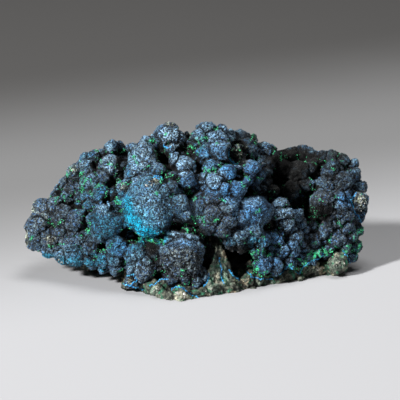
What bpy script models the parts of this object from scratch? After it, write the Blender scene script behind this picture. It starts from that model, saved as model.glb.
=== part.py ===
"""Cornetite hand specimen: a botryoidal cornetite crust grown on a wedge of broken host rock.

Metres, +Z up. The specimen rests on its cut flat at z = 0, with its grown face towards -Y.
The tables are in millimetres. A grown lump is a row of across (+X), rise, depth (+Y, away from
the grown face) and radius. Rise is measured square to a line of sight that looks down on the
grown face at SIGHT_TILT, so a lump's height follows from its rise and its depth.
"""
import math
import random

import bmesh
import bpy
from mathutils import Matrix, Vector, noise

MM = 0.001
SIGHT_TILT = math.radians(15.0)

# How finely each piece is fused, and how many faces it keeps
CRUST_VOXEL = 0.85
CRUST_FACES = 6450
ROCK_VOXEL = 1.5
ROCK_FACES = 1900

# The subdivisions of a plain ball and of one whose radius is over LARGE_RADIUS
PLAIN_DETAIL = 3
FINE_DETAIL = 4
LARGE_RADIUS = 6.0

# Unevenness of the grown skin and of the broken rock: height and pattern size
SKIN_WAVE = 0.35
SKIN_WAVE_SIZE = 5.0
ROCK_WAVE = 1.1
ROCK_WAVE_SIZE = 7.0

# The finer waves laid over the first: how much weaker and finer each is, and how many there are
WAVE_FADE = 0.9
WAVE_RATIO = 2.2
WAVE_COUNT = 3

# How far the lumps lean out of true, and over what distance the lean changes
LEAN = 1.1
LEAN_SIZE = 6.5
LEAN_SEED = 7

# Clearance between the crust and the rock that it coats, and between the crust and the floor
SEAT_GAP = 0.6
SEAT_VOXEL = 0.9
SEAT_FACES = 2600
FLOOR_GAP = 0.5
FLOOR_BLOCK_SIZE = (300, 300, 40)

# Each lump is the round end of a column that grew out of the mass behind it, and ends inside it
STEM_SHARE = 0.78
STEM_STEP = 0.65
STEM_END = 0.85

# Lumps over the back of the crest, in rows that run back from the skyline
BACK_START = -51.0
BACK_END = 53.0
BACK_ROW_STEP = 4.6
BACK_FIRST_ROW = 0.8
BACK_COLUMN_STEP = 4.8
BACK_DEPTH_LIMIT = 25.0
BACK_LOWEST = 24.0
BACK_RADII = (2.3, 3.4)
BACK_DROP = (0.4, 1.6)
BACK_SINK = 1.2
BACK_STRAY = 1.2
BACK_DEPTH_STRAY = 0.8
BACK_SEED = 11
CROWN_REACH = 1.5

# Small lumps on the bare stretches of column that show between the large lumps
GAP_STEP = 2.4
GAP_STRAY = 0.9
GAP_RADII = (1.3, 2.3)
GAP_SINK = 0.3
GAP_ACROSS = (-57.0, 59.0)
GAP_RISE = (-4.0, 52.0)
GAP_FRONT = -60.0
GAP_SEED = 7

# Plain finishes
CORNETITE_COLOR = (0.055, 0.105, 0.19)
CORNETITE_ROUGHNESS = 0.6
HOST_ROCK_COLOR = (0.15, 0.16, 0.1)
HOST_ROCK_ROUGHNESS = 0.85

LUMPS = {
    "left_arm": (
        (-50.0, 22.0, 2, 4.4), (-52, 16.5, 1, 5), (-53, 12.5, 2, 4.2), (-48.3, 13, -3, 3),
        (-49, 9, 0, 3.2), (-46, 23.5, -1, 3.6), (-42.7, 26, 0, 3.2), (-44.3, 20.7, -3, 4),
        (-39.3, 19, -6, 3.8), (-44.7, 15, -5, 2.6), (-41.3, 11.7, -7, 3.2),
        (-37.7, 12.3, -9, 2.4), (-34.7, 10, -9, 3.2), (-39.7, 6.7, -6, 3.6),
        (-44.3, 6.7, -4, 3), (-35, 5.7, -8, 3),
    ),
    "left_crest": (
        (-41.5, 29, 2, 3.2), (-43.5, 31.5, 4, 2.6), (-40, 34.5, 5, 3), (-36, 39, 7, 3),
        (-33.3, 40, 6, 3), (-28, 42.6, 7, 3.1), (-25.5, 43, 10, 2.5), (-31, 41.5, 6, 2.1),
        (-28.3, 37, 0, 3.9), (-30, 34, -1, 3.2), (-34.7, 32, 0, 3.2), (-36, 36, 3, 2.6),
        (-24.3, 37, 0, 2), (-25.7, 33.7, -1, 2.2), (-38.3, 29, 1, 2.6), (-35.7, 27.3, -3, 2.2),
        (-34.7, 23.7, -6, 2.3), (-31.7, 27, -6, 3.4), (-27.3, 27.3, -6, 2.4),
    ),
    "teal_boulder": (
        (-29.3, 18.3, -11, 5.4), (-29.7, 22.3, -13, 2.2), (-32.7, 19.7, -12, 2.6),
        (-26.3, 18.3, -13, 3), (-30.7, 15, -12, 3.6), (-25.3, 10.3, -14, 3.8),
        (-26.3, 6.7, -14, 3), (-29.7, 6.7, -12, 2.8), (-25.7, 3, -14, 2.4), (-30, 3, -10, 2.2),
    ),
    "turquoise_dome": (
        (-14.6, 26.2, -11, 8.2), (-14.2, 21.6, -12, 8.5), (-16.9, 21.2, -12, 6.6),
        (-10.9, 22.5, -13, 6.2), (-17.3, 39.7, -4, 5.4), (-18, 35, -6, 5.2),
        (-20.3, 42.3, -3, 2.8), (-16, 44, -1, 3), (-15, 39, -6, 3), (-11.3, 35.7, -10, 2.2),
        (-10, 29.3, -17, 2.2), (-7.3, 30, -16, 2), (-12.3, 31.3, -16, 2.2),
        (-15, 31.7, -15, 2.4), (-22.7, 29.7, -10, 2.9), (-23, 24.7, -11, 3.2),
        (-5.3, 24.7, -16, 3.2), (-3.3, 21, -16, 2.2), (-5.7, 19.7, -16, 1.8),
    ),
    "summit_left": (
        (-9, 46, 1, 4.8), (-8.3, 49.0, 3, 2.9), (-11.7, 45, 0, 3), (-7.7, 42.3, -2, 2.8),
        (-6.3, 46, 1, 3.2), (-2.7, 46.7, 6, 1.9), (-2.3, 42.3, 1, 1.8), (-6, 38.7, -7, 2.6),
        (-3.3, 36.7, -8, 3.4), (-3.3, 32.3, -10, 3.6), (-0.7, 33, -9, 2),
        (-6.7, 33.3, -11, 2.2),
    ),
    "summit_right": (
        (4.3, 48.5, 3, 3.5), (2, 46.3, 1, 3.4), (7, 45.7, 1, 3.8), (8.7, 48.6, 4, 2.5),
        (3, 40.3, -2, 4.2), (8, 41.7, -2, 4.2), (5.7, 36.7, -5, 3.8), (1.7, 49.6, 2, 1.5),
        (0.3, 43.3, -1, 2.2), (11, 45.7, 4, 2.4),
    ),
    "shaded_shoulder": (
        (15, 46.2, 9, 3.1), (19.3, 46.5, 9, 1.5), (17.3, 42.7, 6, 3.8), (22.7, 42.0, 9, 3.1),
        (25.3, 40, 10, 3), (26, 42, 12, 2), (23.7, 37.3, 7, 2.8), (14.3, 41.3, 0, 3.4),
        (18.3, 35.3, -3, 4.2), (17, 31.7, -6, 2.4), (21, 33.7, -3, 2.8), (15, 36.3, -4, 2.2),
    ),
    "blue_trio": (
        (10.7, 35, -8, 3.1), (6.7, 31, -10, 3.7), (2.7, 32.3, -9, 2.7),
        (10.3, 28.7, -12, 2.8), (13.7, 29, -11, 3.3),
    ),
    "grey_mantle": (
        (1.3, 24, -12, 4.4), (5.7, 25.7, -12, 4.2), (5.7, 21, -14, 4.4), (10.7, 23, -13, 4.2),
        (14, 20.3, -13, 3.1), (11.3, 19, -15, 3.1), (4.3, 17, -15, 3.4), (9, 16.3, -15, 3.1),
        (0.7, 20, -14, 2.8), (14.3, 14, -13, 3), (11.7, 12.7, -13, 2.4), (15.3, 10, -12, 2.4),
        (18.3, 13, -11, 2.4),
    ),
    "right_boulder": (
        (19.3, 22.7, -9, 4.8), (22, 23, -7, 3.9), (18.7, 17, -10, 3.4), (21.7, 12.3, -10, 3),
        (21, 8.7, -11, 2.8), (22.7, 4, -11, 3.2), (26.3, 3, -10, 2.7),
    ),
    "right_column": (
        (28.7, 24.3, -4, 2.5), (29.3, 20.7, -5, 3), (29.7, 17.3, -5, 3), (27, 13, -7, 2.8),
        (29, 9, -7, 2.7), (32.3, 8.7, -5, 3.3), (34, 21, -1, 2.4), (35, 17.7, 0, 2.7),
        (33.7, 13.3, -3, 2.6), (31.5, 4.6, -5.5, 2.4),
    ),
    "front_boulder": (
        (-4.3, 7.3, -19, 7.4), (-5.7, 13.3, -18, 2.8), (-1.7, 12, -19, 3),
        (-7.7, 11.7, -19, 2.6), (0.7, 9.3, -20, 2.8), (-8.3, 5.7, -22, 3.2),
        (-1.7, 4.3, -23, 3.2), (0.3, -1.3, -21, 2.8), (-4, -0.7, -22, 2.2),
        (3.3, 0.7, -19, 2.4), (-8.3, -0.7, -22, 2.2),
    ),
    "front_left": (
        (-19.3, 8, -16, 4), (-16.3, 2, -19, 3.8), (-20.3, 3.3, -17, 2.8),
        (-15.7, 5, -19, 2.4), (-17.7, 11.3, -15, 2.2), (-21, -1, -18, 2.4),
    ),
    "right_end": (
        (46.7, 39.4, 19, 3.5), (49.7, 39.6, 18, 2.7), (52.7, 37.8, 18, 2.3),
        (46, 35, 12, 3.8), (44.3, 31.3, 10, 3.2), (49.3, 32.3, 11, 3.8), (42.7, 24.7, 6, 4.3),
        (50, 27, 10, 3.2), (51, 23.3, 9, 2.8), (55, 25, 11, 3.4), (55.3, 30, 14, 2.8),
        (53.7, 33.7, 15, 2.6), (50.7, 17.3, 8, 3.7), (52.3, 13, 8, 3), (43.3, 15.3, 3, 3.2),
        (40.3, 12, 2, 2.7), (47.7, 12, 4, 3.4), (44.7, 8.3, 2, 2.7), (50, 9, 4, 2.7),
        (54, 9.7, 8, 2.4), (53, 6, 7, 2), (39.3, 17, 3, 2.3), (47.7, 21, 8, 2.7),
        (41.7, 8, 1, 2.4), (37, 9, 0, 2.4), (36.2, 5.4, -2.5, 2.3), (40, 5.2, -0.5, 2.1),
        (54.6, 19.6, 11, 2.9), (54.2, 15.4, 10, 2.8), (56.2, 21.8, 12, 2), (51, 19.8, 6, 2.4),
    ),
    "back_ridge": (
        (29.3, 41.0, 24, 2.8), (32.7, 41.4, 25, 2.6), (36.3, 41.6, 26, 2.8),
        (40, 40.0, 24, 2.8), (43.3, 40.2, 21, 2.6), (34.3, 35, 15, 4.4), (30.7, 36.3, 15, 3.2),
        (38.7, 35.7, 17, 3), (37.7, 30.7, 13, 3), (32.3, 29, 9, 3.2), (26, 29, 4, 2.4),
    ),
}

# Masses behind the lumps, which the dark clefts lead down to: x, y, z and the three radii
CORES = (
    (-7, -9, 12, 12, 11, 10),
    (-6, -2, 26, 17, 11, 13),
    (2, 6, 36, 12, 9, 11.5),
    (-28, 4, 23, 14, 8.5, 15),
    (-42, 3, 17, 14, 6.5, 8.5),
    (28, 4, 12, 10.5, 9.5, 10.5),
    (-6, 5, 37, 9, 6, 8),
    (47, 13, 17, 7, 9, 15),
    (33, 20, 18, 16, 8, 15),
    (16, 8, 32, 9, 8, 10),
)

# Nodules of rock in the front rim, as lumps are given
ROCK_NODULES = (
    (-13.3, -3.7, -21, 2.6), (-10.7, -2.9, -22, 2.8), (-5.7, -4.7, -24, 2.6),
    (47.7, 4.3, 2, 3.4), (-21.5, -1.8, -16, 2.3), (33.5, -0.4, -3.2, 2.4), (40.5, 2.6, 0.6, 2.6),
)

# Corners of the broken rock, chunk by chunk, in x, y, z. The foot runs below the cut at z = 0
ROCK_CHUNKS = {
    "toe": (
        (-25.5, -10, -6), (-19, -19.5, -6), (-12.5, -28, -6), (-6.5, -31, -6), (1.5, -26.6, -6),
        (15, -17, -6), (29, -9.5, -6), (43, -1, -6), (51.5, 5, -6), (52, 18, -6), (46, 25, -6),
        (-22, 24, -6), (-28, 8, -6), (-23.5, -10, 4), (-16.5, -18.7, 3.8), (-9, -26.4, 3.4),
        (-4, -27, 3.4), (2, -24, 3.4), (15, -15, 3), (29, -7.5, 2.8), (43, 2, 4.6),
        (50, 9.5, 4.5), (44, 24, 7), (-20, 22, 7),
    ),
    "spur": (
        (7.7, -16.5, 13), (2, -24.8, -4), (14.5, -16, -4), (8, -9, 2), (4.8, -20, 7),
        (11, -14.5, 7),
    ),
    "left_wall": (
        (-24, 4, -6), (-20, 24, -6), (12, 26, -6), (12, 4, -6), (-8, -5, 12), (7, -3, 9),
        (-57, 2, 11.5), (-56.2, 4.5, 16), (-54, 5.5, 20.5), (-51.5, 7.5, 24), (-46, 16, 19),
        (-42, 10, 28), (-30, 14, 34), (-18, 12, 38), (0, 12, 43), (9, 14, 42), (14, 24, 36),
        (-30, 22, 14), (0, 29, 12), (14, 28, 14),
    ),
    "right_wall": (
        (8, 10, -6), (12, 27, -6), (46, 26, -6), (50, 10, -6), (10, 20, 34), (14, 23, 37),
        (24, 26, 33), (42, 27, 32), (52, 23, 27), (55.5, 17, 18), (54, 11, 8), (20, 29, 12),
        (44, 30, 12),
    ),
}


def lump_place(across, rise, depth):
    """The x, y, z in millimetres of a lump seen at this rise and lying at this depth."""
    height = (rise - depth * math.sin(SIGHT_TILT)) / math.cos(SIGHT_TILT)
    return Vector((across, depth, height))


def unit_ball(detail):
    """A ball of radius 1 to copy from."""
    bm = bmesh.new()
    bmesh.ops.create_icosphere(bm, subdivisions=detail, radius=1.0)
    mesh = bpy.data.meshes.new("unit_ball")
    bm.to_mesh(mesh)
    bm.free()
    return mesh


def add_ball(bm, unit_balls, centre, radii):
    """A closed ball or ellipsoid, in millimetres, finer where it is larger."""
    copied = unit_balls["fine" if max(radii) > LARGE_RADIUS else "plain"].copy()
    sizes = [radius * MM for radius in radii]
    copied.transform(Matrix.Translation(centre * MM) @ Matrix.Diagonal((*sizes, 1.0)))
    bm.from_mesh(copied)
    bpy.data.meshes.remove(copied)


def nearest_core(point):
    """The core that lies nearest to a point, and how far out of it the point is (1 = on it)."""
    best = None
    for core in CORES:
        centre = Vector(core[:3])
        offset = point - centre
        reach = Vector((offset.x / core[3], offset.y / core[4], offset.z / core[5])).length
        if best is None or reach < best[1]:
            best = (centre, reach)
    return best


def column(row):
    """The balls of one lump and of the column that carries it, back to the mass it grew from."""
    radius = row[3]
    point = lump_place(*row[:3])
    balls = [(point, (radius, radius, radius))]
    centre, reach = nearest_core(point)
    while reach > STEM_END:
        point = point + (centre - point).normalized() * radius * STEM_STEP
        thinner = radius * STEM_SHARE
        balls.append((point, (thinner, thinner, thinner)))
        centre, reach = nearest_core(point)
    return balls


def crown(across, rows):
    """The skyline of the lumps at one place across: its rise, and the depth of what makes it."""
    near = [row for row in rows if abs(row[0] - across) < row[3] + CROWN_REACH]
    if not near:
        return None
    top = max(near, key=lambda row: row[1] + row[3])
    return top[1] + top[3], top[2]


def back_slope(rows):
    """Lumps over the back of the crest, each lower than the skyline that the front ones make."""
    rng = random.Random(BACK_SEED)
    grown = []
    across = BACK_START
    while across < BACK_END:
        skyline = crown(across, rows)
        across += BACK_COLUMN_STEP
        if skyline is None:
            continue
        rise, depth = skyline
        depth += BACK_FIRST_ROW * BACK_ROW_STEP
        while depth < BACK_DEPTH_LIMIT and rise > BACK_LOWEST:
            radius = rng.uniform(*BACK_RADII)
            rise -= rng.uniform(*BACK_DROP)
            place = across - BACK_COLUMN_STEP + rng.uniform(-BACK_STRAY, BACK_STRAY)
            stray = rng.uniform(-BACK_DEPTH_STRAY, BACK_DEPTH_STRAY)
            grown.append((place, rise - radius - BACK_SINK, depth + stray, radius))
            depth += BACK_ROW_STEP
    return grown


def first_met(start, way, balls):
    """How far along a way from a start the first of these balls lies, in millimetres."""
    first = math.inf
    for centre, radii in balls:
        offset = Vector([(a - b) / radius for a, b, radius in zip(start, centre, radii)])
        scaled = Vector([part / radius for part, radius in zip(way, radii)])
        square = scaled.length_squared
        half = offset.dot(scaled)
        inside = half * half - square * (offset.length_squared - 1.0)
        if inside > 0:
            first = min(first, (-half - math.sqrt(inside)) / square)
    return first


def gap_buds(lumps, others):
    """Small lumps on every bare stretch of column or mass that shows between the large ones."""
    rng = random.Random(GAP_SEED)
    sight = Vector((0.0, math.cos(SIGHT_TILT), -math.sin(SIGHT_TILT)))
    found = []
    rise = GAP_RISE[0]
    while rise < GAP_RISE[1]:
        across = GAP_ACROSS[0]
        while across < GAP_ACROSS[1]:
            place = across + rng.uniform(-GAP_STRAY, GAP_STRAY)
            height = rise + rng.uniform(-GAP_STRAY, GAP_STRAY)
            start = lump_place(place, height, GAP_FRONT)
            radius = rng.uniform(*GAP_RADII)
            bare = first_met(start, sight, others)
            if bare < first_met(start, sight, lumps) - GAP_SINK:
                found.append((start + sight * (bare + GAP_SINK * radius), (radius, radius, radius)))
            across += GAP_STEP
        rise += GAP_STEP
    return found


def object_from(bm, name, collection):
    """A new object in a collection, holding what a bmesh holds."""
    mesh = bpy.data.meshes.new(name)
    bm.to_mesh(mesh)
    bm.free()
    made = bpy.data.objects.new(name, mesh)
    collection.objects.link(made)
    return made


def bake(made):
    """Turn an object's modifiers into its mesh."""
    bpy.context.view_layer.update()
    evaluated = made.evaluated_get(bpy.context.evaluated_depsgraph_get())
    mesh = bpy.data.meshes.new_from_object(evaluated)
    made.modifiers.clear()
    old = made.data
    made.data = mesh
    bpy.data.meshes.remove(old)
    mesh.name = made.name


def fuse(made, voxel):
    """Join overlapping solids into one skin."""
    remesh = made.modifiers.new("fuse", "REMESH")
    remesh.mode = "VOXEL"
    remesh.voxel_size = voxel * MM
    remesh.adaptivity = 0.0
    bake(made)


def simplify(made, faces):
    """Bring a mesh down to about this many triangles, where it is flattest first."""
    triangles = sum(len(face.vertices) - 2 for face in made.data.polygons)
    decimate = made.modifiers.new("simplify", "DECIMATE")
    decimate.ratio = min(1.0, faces / triangles)
    decimate.use_collapse_triangulate = True
    bake(made)


def keep_largest(made):
    """Drop the loose bits that a cut leaves, and split every face into triangles."""
    bm = bmesh.new()
    bm.from_mesh(made.data)
    unseen = set(bm.verts)
    islands = []
    while unseen:
        start = unseen.pop()
        island = {start}
        edge_of_search = [start]
        while edge_of_search:
            vert = edge_of_search.pop()
            for edge in vert.link_edges:
                other = edge.other_vert(vert)
                if other in unseen:
                    unseen.remove(other)
                    island.add(other)
                    edge_of_search.append(other)
        islands.append(island)
    islands.sort(key=len)
    for island in islands[:-1]:
        bmesh.ops.delete(bm, geom=list(island), context="VERTS")
    bmesh.ops.triangulate(bm, faces=bm.faces[:])
    bm.to_mesh(made.data)
    bm.free()


def cut(made, cutter):
    """Take a cutter's volume out of an object."""
    difference = made.modifiers.new("cut", "BOOLEAN")
    difference.operation = "DIFFERENCE"
    difference.object = cutter
    bake(made)


def roughen(made, height, size):
    """Push a skin in and out along its normals by seeded noise."""
    mesh = made.data
    normals = [vert.normal.copy() for vert in mesh.vertices]
    for vert, normal in zip(mesh.vertices, normals):
        push = noise.fractal(vert.co / (size * MM), WAVE_FADE, WAVE_RATIO, WAVE_COUNT)
        vert.co = vert.co + normal * push * height * MM
    mesh.update()


def lean(made, amount, size):
    """Draw a skin this way and that by a slow seeded field, so that no lump stays a true ball."""
    noise.seed_set(LEAN_SEED)
    for vert in made.data.vertices:
        vert.co = vert.co + noise.noise_vector(vert.co / (size * MM)) * amount * MM
    made.data.update()


def grow(made, distance):
    """Push a skin outward by the same distance everywhere."""
    for vert, normal in [(vert, vert.normal.copy()) for vert in made.data.vertices]:
        vert.co = vert.co + normal * distance * MM
    made.data.update()


def add_chunk(bm, corners):
    """One convex chunk of rock, from its corners in millimetres."""
    verts = [bm.verts.new(Vector(corner) * MM) for corner in corners]
    hull = bmesh.ops.convex_hull(bm, input=verts)
    spare = [item for item in hull["geom_interior"] if isinstance(item, bmesh.types.BMVert)]
    bmesh.ops.delete(bm, geom=spare, context="VERTS")


def rough_rock(collection, unit_balls):
    """The host rock before it is cut flat below."""
    bm = bmesh.new()
    for corners in ROCK_CHUNKS.values():
        add_chunk(bm, corners)
    for row in ROCK_NODULES:
        add_ball(bm, unit_balls, lump_place(*row[:3]), (row[3], row[3], row[3]))
    bmesh.ops.recalc_face_normals(bm, faces=bm.faces[:])
    made = object_from(bm, "matrix", collection)
    fuse(made, ROCK_VOXEL)
    roughen(made, ROCK_WAVE, ROCK_WAVE_SIZE)
    simplify(made, ROCK_FACES)
    return made


def floor_block(collection, top):
    """A block that takes away all that lies below a height in millimetres."""
    bm = bmesh.new()
    middle = Vector((0, 0, top - FLOOR_BLOCK_SIZE[2] / 2)) * MM
    sides = [side * MM for side in FLOOR_BLOCK_SIZE]
    placed = Matrix.Translation(middle) @ Matrix.Diagonal((*sides, 1))
    bmesh.ops.create_cube(bm, size=1.0, matrix=placed)
    block = object_from(bm, "floor_block", collection)
    block.hide_render = True
    block.display_type = "WIRE"
    return block


def grown_crust(collection, unit_balls):
    """Every lump, column and core fused into one skin, before the rock is taken out of it."""
    rows = [row for group in LUMPS.values() for row in group]
    columns = [column(row) for row in rows + back_slope(rows)]
    lumps = [balls[0] for balls in columns]
    masses = [ball for balls in columns for ball in balls[1:]]
    masses += [(Vector(core[:3]), core[3:]) for core in CORES]
    bm = bmesh.new()
    for centre, radii in masses + lumps + gap_buds(lumps, masses):
        add_ball(bm, unit_balls, centre, radii)
    made = object_from(bm, "cornetite_crust", collection)
    fuse(made, CRUST_VOXEL)
    lean(made, LEAN, LEAN_SIZE)
    roughen(made, SKIN_WAVE, SKIN_WAVE_SIZE)
    simplify(made, CRUST_FACES)
    return made


def stone_material(name, color, roughness):
    """A plain stone finish."""
    made = bpy.data.materials.new(name)
    made.use_nodes = True
    shader = made.node_tree.nodes["Principled BSDF"]
    shader.inputs["Base Color"].default_value = (*color, 1.0)
    shader.inputs["Roughness"].default_value = roughness
    shader.inputs["Metallic"].default_value = 0.0
    return made


def build():
    for old in list(bpy.data.objects):
        bpy.data.objects.remove(old, do_unlink=True)
    specimen = bpy.data.collections.new("cornetite_specimen")
    cutters = bpy.data.collections.new("cutters")
    bpy.context.scene.collection.children.link(specimen)
    bpy.context.scene.collection.children.link(cutters)

    unit_balls = {"plain": unit_ball(PLAIN_DETAIL), "fine": unit_ball(FINE_DETAIL)}
    rock = rough_rock(specimen, unit_balls)
    seat = rock.copy()
    seat.data = rock.data.copy()
    seat.name = "rock_seat"
    cutters.objects.link(seat)
    seat.hide_render = True
    seat.display_type = "WIRE"
    grow(seat, SEAT_GAP)
    fuse(seat, SEAT_VOXEL)
    simplify(seat, SEAT_FACES)

    crust = grown_crust(specimen, unit_balls)
    cut(crust, seat)
    cut(crust, floor_block(cutters, FLOOR_GAP))
    keep_largest(crust)

    cut(rock, floor_block(cutters, 0.0))
    keep_largest(rock)

    cornetite = stone_material("cornetite", CORNETITE_COLOR, CORNETITE_ROUGHNESS)
    host_rock = stone_material("host_rock", HOST_ROCK_COLOR, HOST_ROCK_ROUGHNESS)
    for made, finish in ((crust, cornetite), (rock, host_rock)):
        made.data.materials.clear()
        made.data.materials.append(finish)


build()
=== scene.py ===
import math
import random

import bmesh
import bpy
import numpy as np
from mathutils import Matrix, Vector, noise
from mathutils.bvhtree import BVHTree


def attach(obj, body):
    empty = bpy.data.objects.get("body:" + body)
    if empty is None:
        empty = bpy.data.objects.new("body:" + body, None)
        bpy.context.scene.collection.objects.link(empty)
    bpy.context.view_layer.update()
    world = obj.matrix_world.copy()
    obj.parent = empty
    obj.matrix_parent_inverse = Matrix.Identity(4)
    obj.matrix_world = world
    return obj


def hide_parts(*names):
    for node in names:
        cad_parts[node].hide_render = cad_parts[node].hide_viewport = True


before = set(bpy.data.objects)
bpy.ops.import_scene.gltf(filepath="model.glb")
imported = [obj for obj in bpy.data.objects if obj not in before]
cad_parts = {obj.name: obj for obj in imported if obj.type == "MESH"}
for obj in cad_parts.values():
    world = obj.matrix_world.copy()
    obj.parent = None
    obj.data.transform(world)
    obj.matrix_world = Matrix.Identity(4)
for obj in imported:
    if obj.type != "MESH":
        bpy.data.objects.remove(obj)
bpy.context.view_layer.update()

# The view. The grown face is seen square on and from a little above, through a long lens, so that
# the specimen keeps its proportions. Places on that face are given below as across and rise, in
# millimetres, rise being measured square to this line of sight, and depth runs away from it.
MM = 0.001
SIGHT_TILT = math.radians(15.0)
SIGHT_DISTANCE = 900.0
FIELD_WIDTH = 133.3
SENSOR_WIDTH = 36.0
SIGHT_CENTRE = (1.67, 0.0, 26.57)


def in_space(across, rise, depth):
    """The x, y, z in millimetres of a place on the grown face."""
    height = (rise - depth * math.sin(SIGHT_TILT)) / math.cos(SIGHT_TILT)
    return Vector((across, depth, height))


line_of_sight = Vector((0.0, math.cos(SIGHT_TILT), -math.sin(SIGHT_TILT)))
camera_data = bpy.data.cameras.new("specimen_camera")
camera_data.sensor_width = SENSOR_WIDTH
camera_data.lens = SENSOR_WIDTH * SIGHT_DISTANCE / FIELD_WIDTH
camera = bpy.data.objects.new("specimen_camera", camera_data)
camera.location = (Vector(SIGHT_CENTRE) - line_of_sight * SIGHT_DISTANCE) * MM
camera.rotation_euler = (math.pi / 2 - SIGHT_TILT, 0.0, 0.0)
bpy.context.scene.collection.objects.link(camera)
bpy.context.scene.camera = camera


# The table. A sheet of matte card lies under the specimen and rises behind it into a card wall,
# with painted light falloff from white in front to grey behind. It is paper, so it scatters light
# evenly.
# The sheet's half width, the start of its bend, the bend's radius and its top, in metres
FLOOR_HALF = 2.5
FLOOR_BACK = 0.75
BEND_RADIUS = 0.3
WALL_TOP = 2.4

# The card's painted light falloff runs from white to grey between these two places, along the slant
# at which the lamp's light falls off, and wanders a little from that in clouds of this size, all in
# metres
CARD_WHITE_TO = -0.03
CARD_GREY_FROM = 0.38
CARD_SLANT = 0.52
CARD_WANDER = 0.02
CARD_CLOUD = 0.11
CARD_TONES = ("#b0b0b2", "#7a7a7a", "#4e4d4c")


def linear(hex_color):
    """An sRGB hex colour as the linear value that a shader reads."""
    levels = [int(hex_color[at:at + 2], 16) / 255 for at in (1, 3, 5)]
    return (*(v / 12.92 if v <= 0.04045 else ((v + 0.055) / 1.055) ** 2.4 for v in levels), 1.0)


def add_node(tree, kind, inputs=None, **settings):
    """Add a node with its settings; each input takes a value, or a link if it is given a socket."""
    made = tree.nodes.new(kind)
    for name, value in settings.items():
        setattr(made, name, value)
    for name, value in (inputs or {}).items():
        if isinstance(value, bpy.types.NodeSocket):
            tree.links.new(value, made.inputs[name])
        else:
            made.inputs[name].default_value = value
    return made


def new_material(name):
    """An empty material, its node tree and the socket that its surface shader goes to."""
    made = bpy.data.materials.new(name)
    made.use_nodes = True
    made.node_tree.nodes.clear()
    surface = made.node_tree.nodes.new("ShaderNodeOutputMaterial").inputs["Surface"]
    return made, made.node_tree, surface


def matte_card(name):
    """Uncoated card: matte, with painted light falloff from white at the front to grey at the back.
    """
    made, tree, surface = new_material(name)
    place = add_node(tree, "ShaderNodeTexCoord").outputs["Object"]
    run_back = add_node(
        tree, "ShaderNodeVectorMath", {0: place, 1: (-CARD_SLANT, 1.0, 0.0)},
        operation="DOT_PRODUCT",
    )
    fibre = add_node(
        tree, "ShaderNodeTexNoise", {"Vector": place, "Scale": 1 / CARD_CLOUD, "Detail": 3.0}
    )
    wander = add_node(
        tree, "ShaderNodeMath",
        {0: fibre.outputs["Fac"], 1: CARD_WANDER, 2: run_back.outputs["Value"]},
        operation="MULTIPLY_ADD",
    )
    length = add_node(
        tree, "ShaderNodeMapRange", {0: wander.outputs[0], 1: CARD_WHITE_TO, 2: CARD_GREY_FROM}
    )
    shade = add_node(tree, "ShaderNodeValToRGB", {"Fac": length.outputs[0]})
    shade.color_ramp.interpolation = "EASE"
    white, grey, dark = (linear(tone) for tone in CARD_TONES)
    shade.color_ramp.elements[0].color = white
    shade.color_ramp.elements[1].color = dark
    shade.color_ramp.elements.new(0.5).color = grey
    shader = add_node(
        tree, "ShaderNodeBsdfPrincipled",
        {"Base Color": shade.outputs[0], "Roughness": 0.9, "Specular IOR Level": 0.2},
    )
    tree.links.new(shader.outputs[0], surface)
    return made


def card_sheet(name, profile, material):
    """A sheet swept sideways from a profile of y, z points, in metres."""
    bm = bmesh.new()
    rows = [[bm.verts.new((side, y, z)) for y, z in profile] for side in (-FLOOR_HALF, FLOOR_HALF)]
    for at in range(len(profile) - 1):
        bm.faces.new((rows[0][at], rows[1][at], rows[1][at + 1], rows[0][at + 1]))
    mesh = bpy.data.meshes.new(name)
    bm.to_mesh(mesh)
    bm.free()
    mesh.shade_smooth()
    mesh.materials.append(material)
    sheet = bpy.data.objects.new(name, mesh)
    bpy.context.scene.collection.objects.link(sheet)


bend = [
    (FLOOR_BACK + BEND_RADIUS * math.sin(turn), BEND_RADIUS * (1 - math.cos(turn)))
    for turn in (math.radians(10 * step) for step in range(10))
]
card_sheet(
    "card_with_painted_falloff", [(-FLOOR_HALF, 0.0)] + bend + [(FLOOR_BACK + BEND_RADIUS, WALL_TOP)],
    matte_card("card_with_painted_falloff"),
)


# The light. One soft lamp stands low at the left and a little in front, so that every lump throws
# its shadow to the right, and a large weak one overhead lights the table and the tops.
LAMP_AIM = (0.0, -0.02, 0.02)


def soft_lamp(name, place, size, power):
    """A square area lamp that faces the specimen, its place and size in metres."""
    lamp_data = bpy.data.lights.new(name, "AREA")
    lamp_data.size = size
    lamp_data.energy = power
    lamp = bpy.data.objects.new(name, lamp_data)
    lamp.location = place
    aim = Vector(LAMP_AIM) - Vector(place)
    lamp.rotation_euler = aim.to_track_quat("-Z", "Y").to_euler()
    bpy.context.scene.collection.objects.link(lamp)


soft_lamp("key_lamp", (-1.98, -1.78, 1.6), 0.3, 190.0)
soft_lamp("table_lamp", (0.1, 0.05, 0.85), 0.4, 4.6)
world = bpy.data.worlds.new("room")
world.use_nodes = True
room_light = world.node_tree.nodes["Background"].inputs
room_light["Color"].default_value = linear("#c4c6ca")
room_light["Strength"].default_value = 0.03
bpy.context.scene.world = world
bpy.context.scene.view_settings.view_transform = "Standard"


# The host rock. It is a wedge of brown-green country rock, veined with copper minerals, that was
# broken off behind and sawn flat below when the specimen was trimmed. It shows as the rim along
# the foot of the grown face, as the knob at the right, and over the whole back.
ROCK_VOXEL = 0.62
ROCK_FACES = 92000
ROCK_WAVE = 1.1
ROCK_WAVE_SIZE = 7.0

# Its relief: knobs, chips and grit, each with its spacing, the level kept in place and its height
KNOB_SIZE, KNOB_LEVEL, KNOB_HEIGHT = 5.2, 0.7, 1.5
CHIP_SIZE, CHIP_LEVEL, CHIP_HEIGHT = 2.3, 0.6, 0.75
GRIT_SIZE, GRIT_LEVEL, GRIT_HEIGHT = 1.05, 0.5, 0.26

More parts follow.
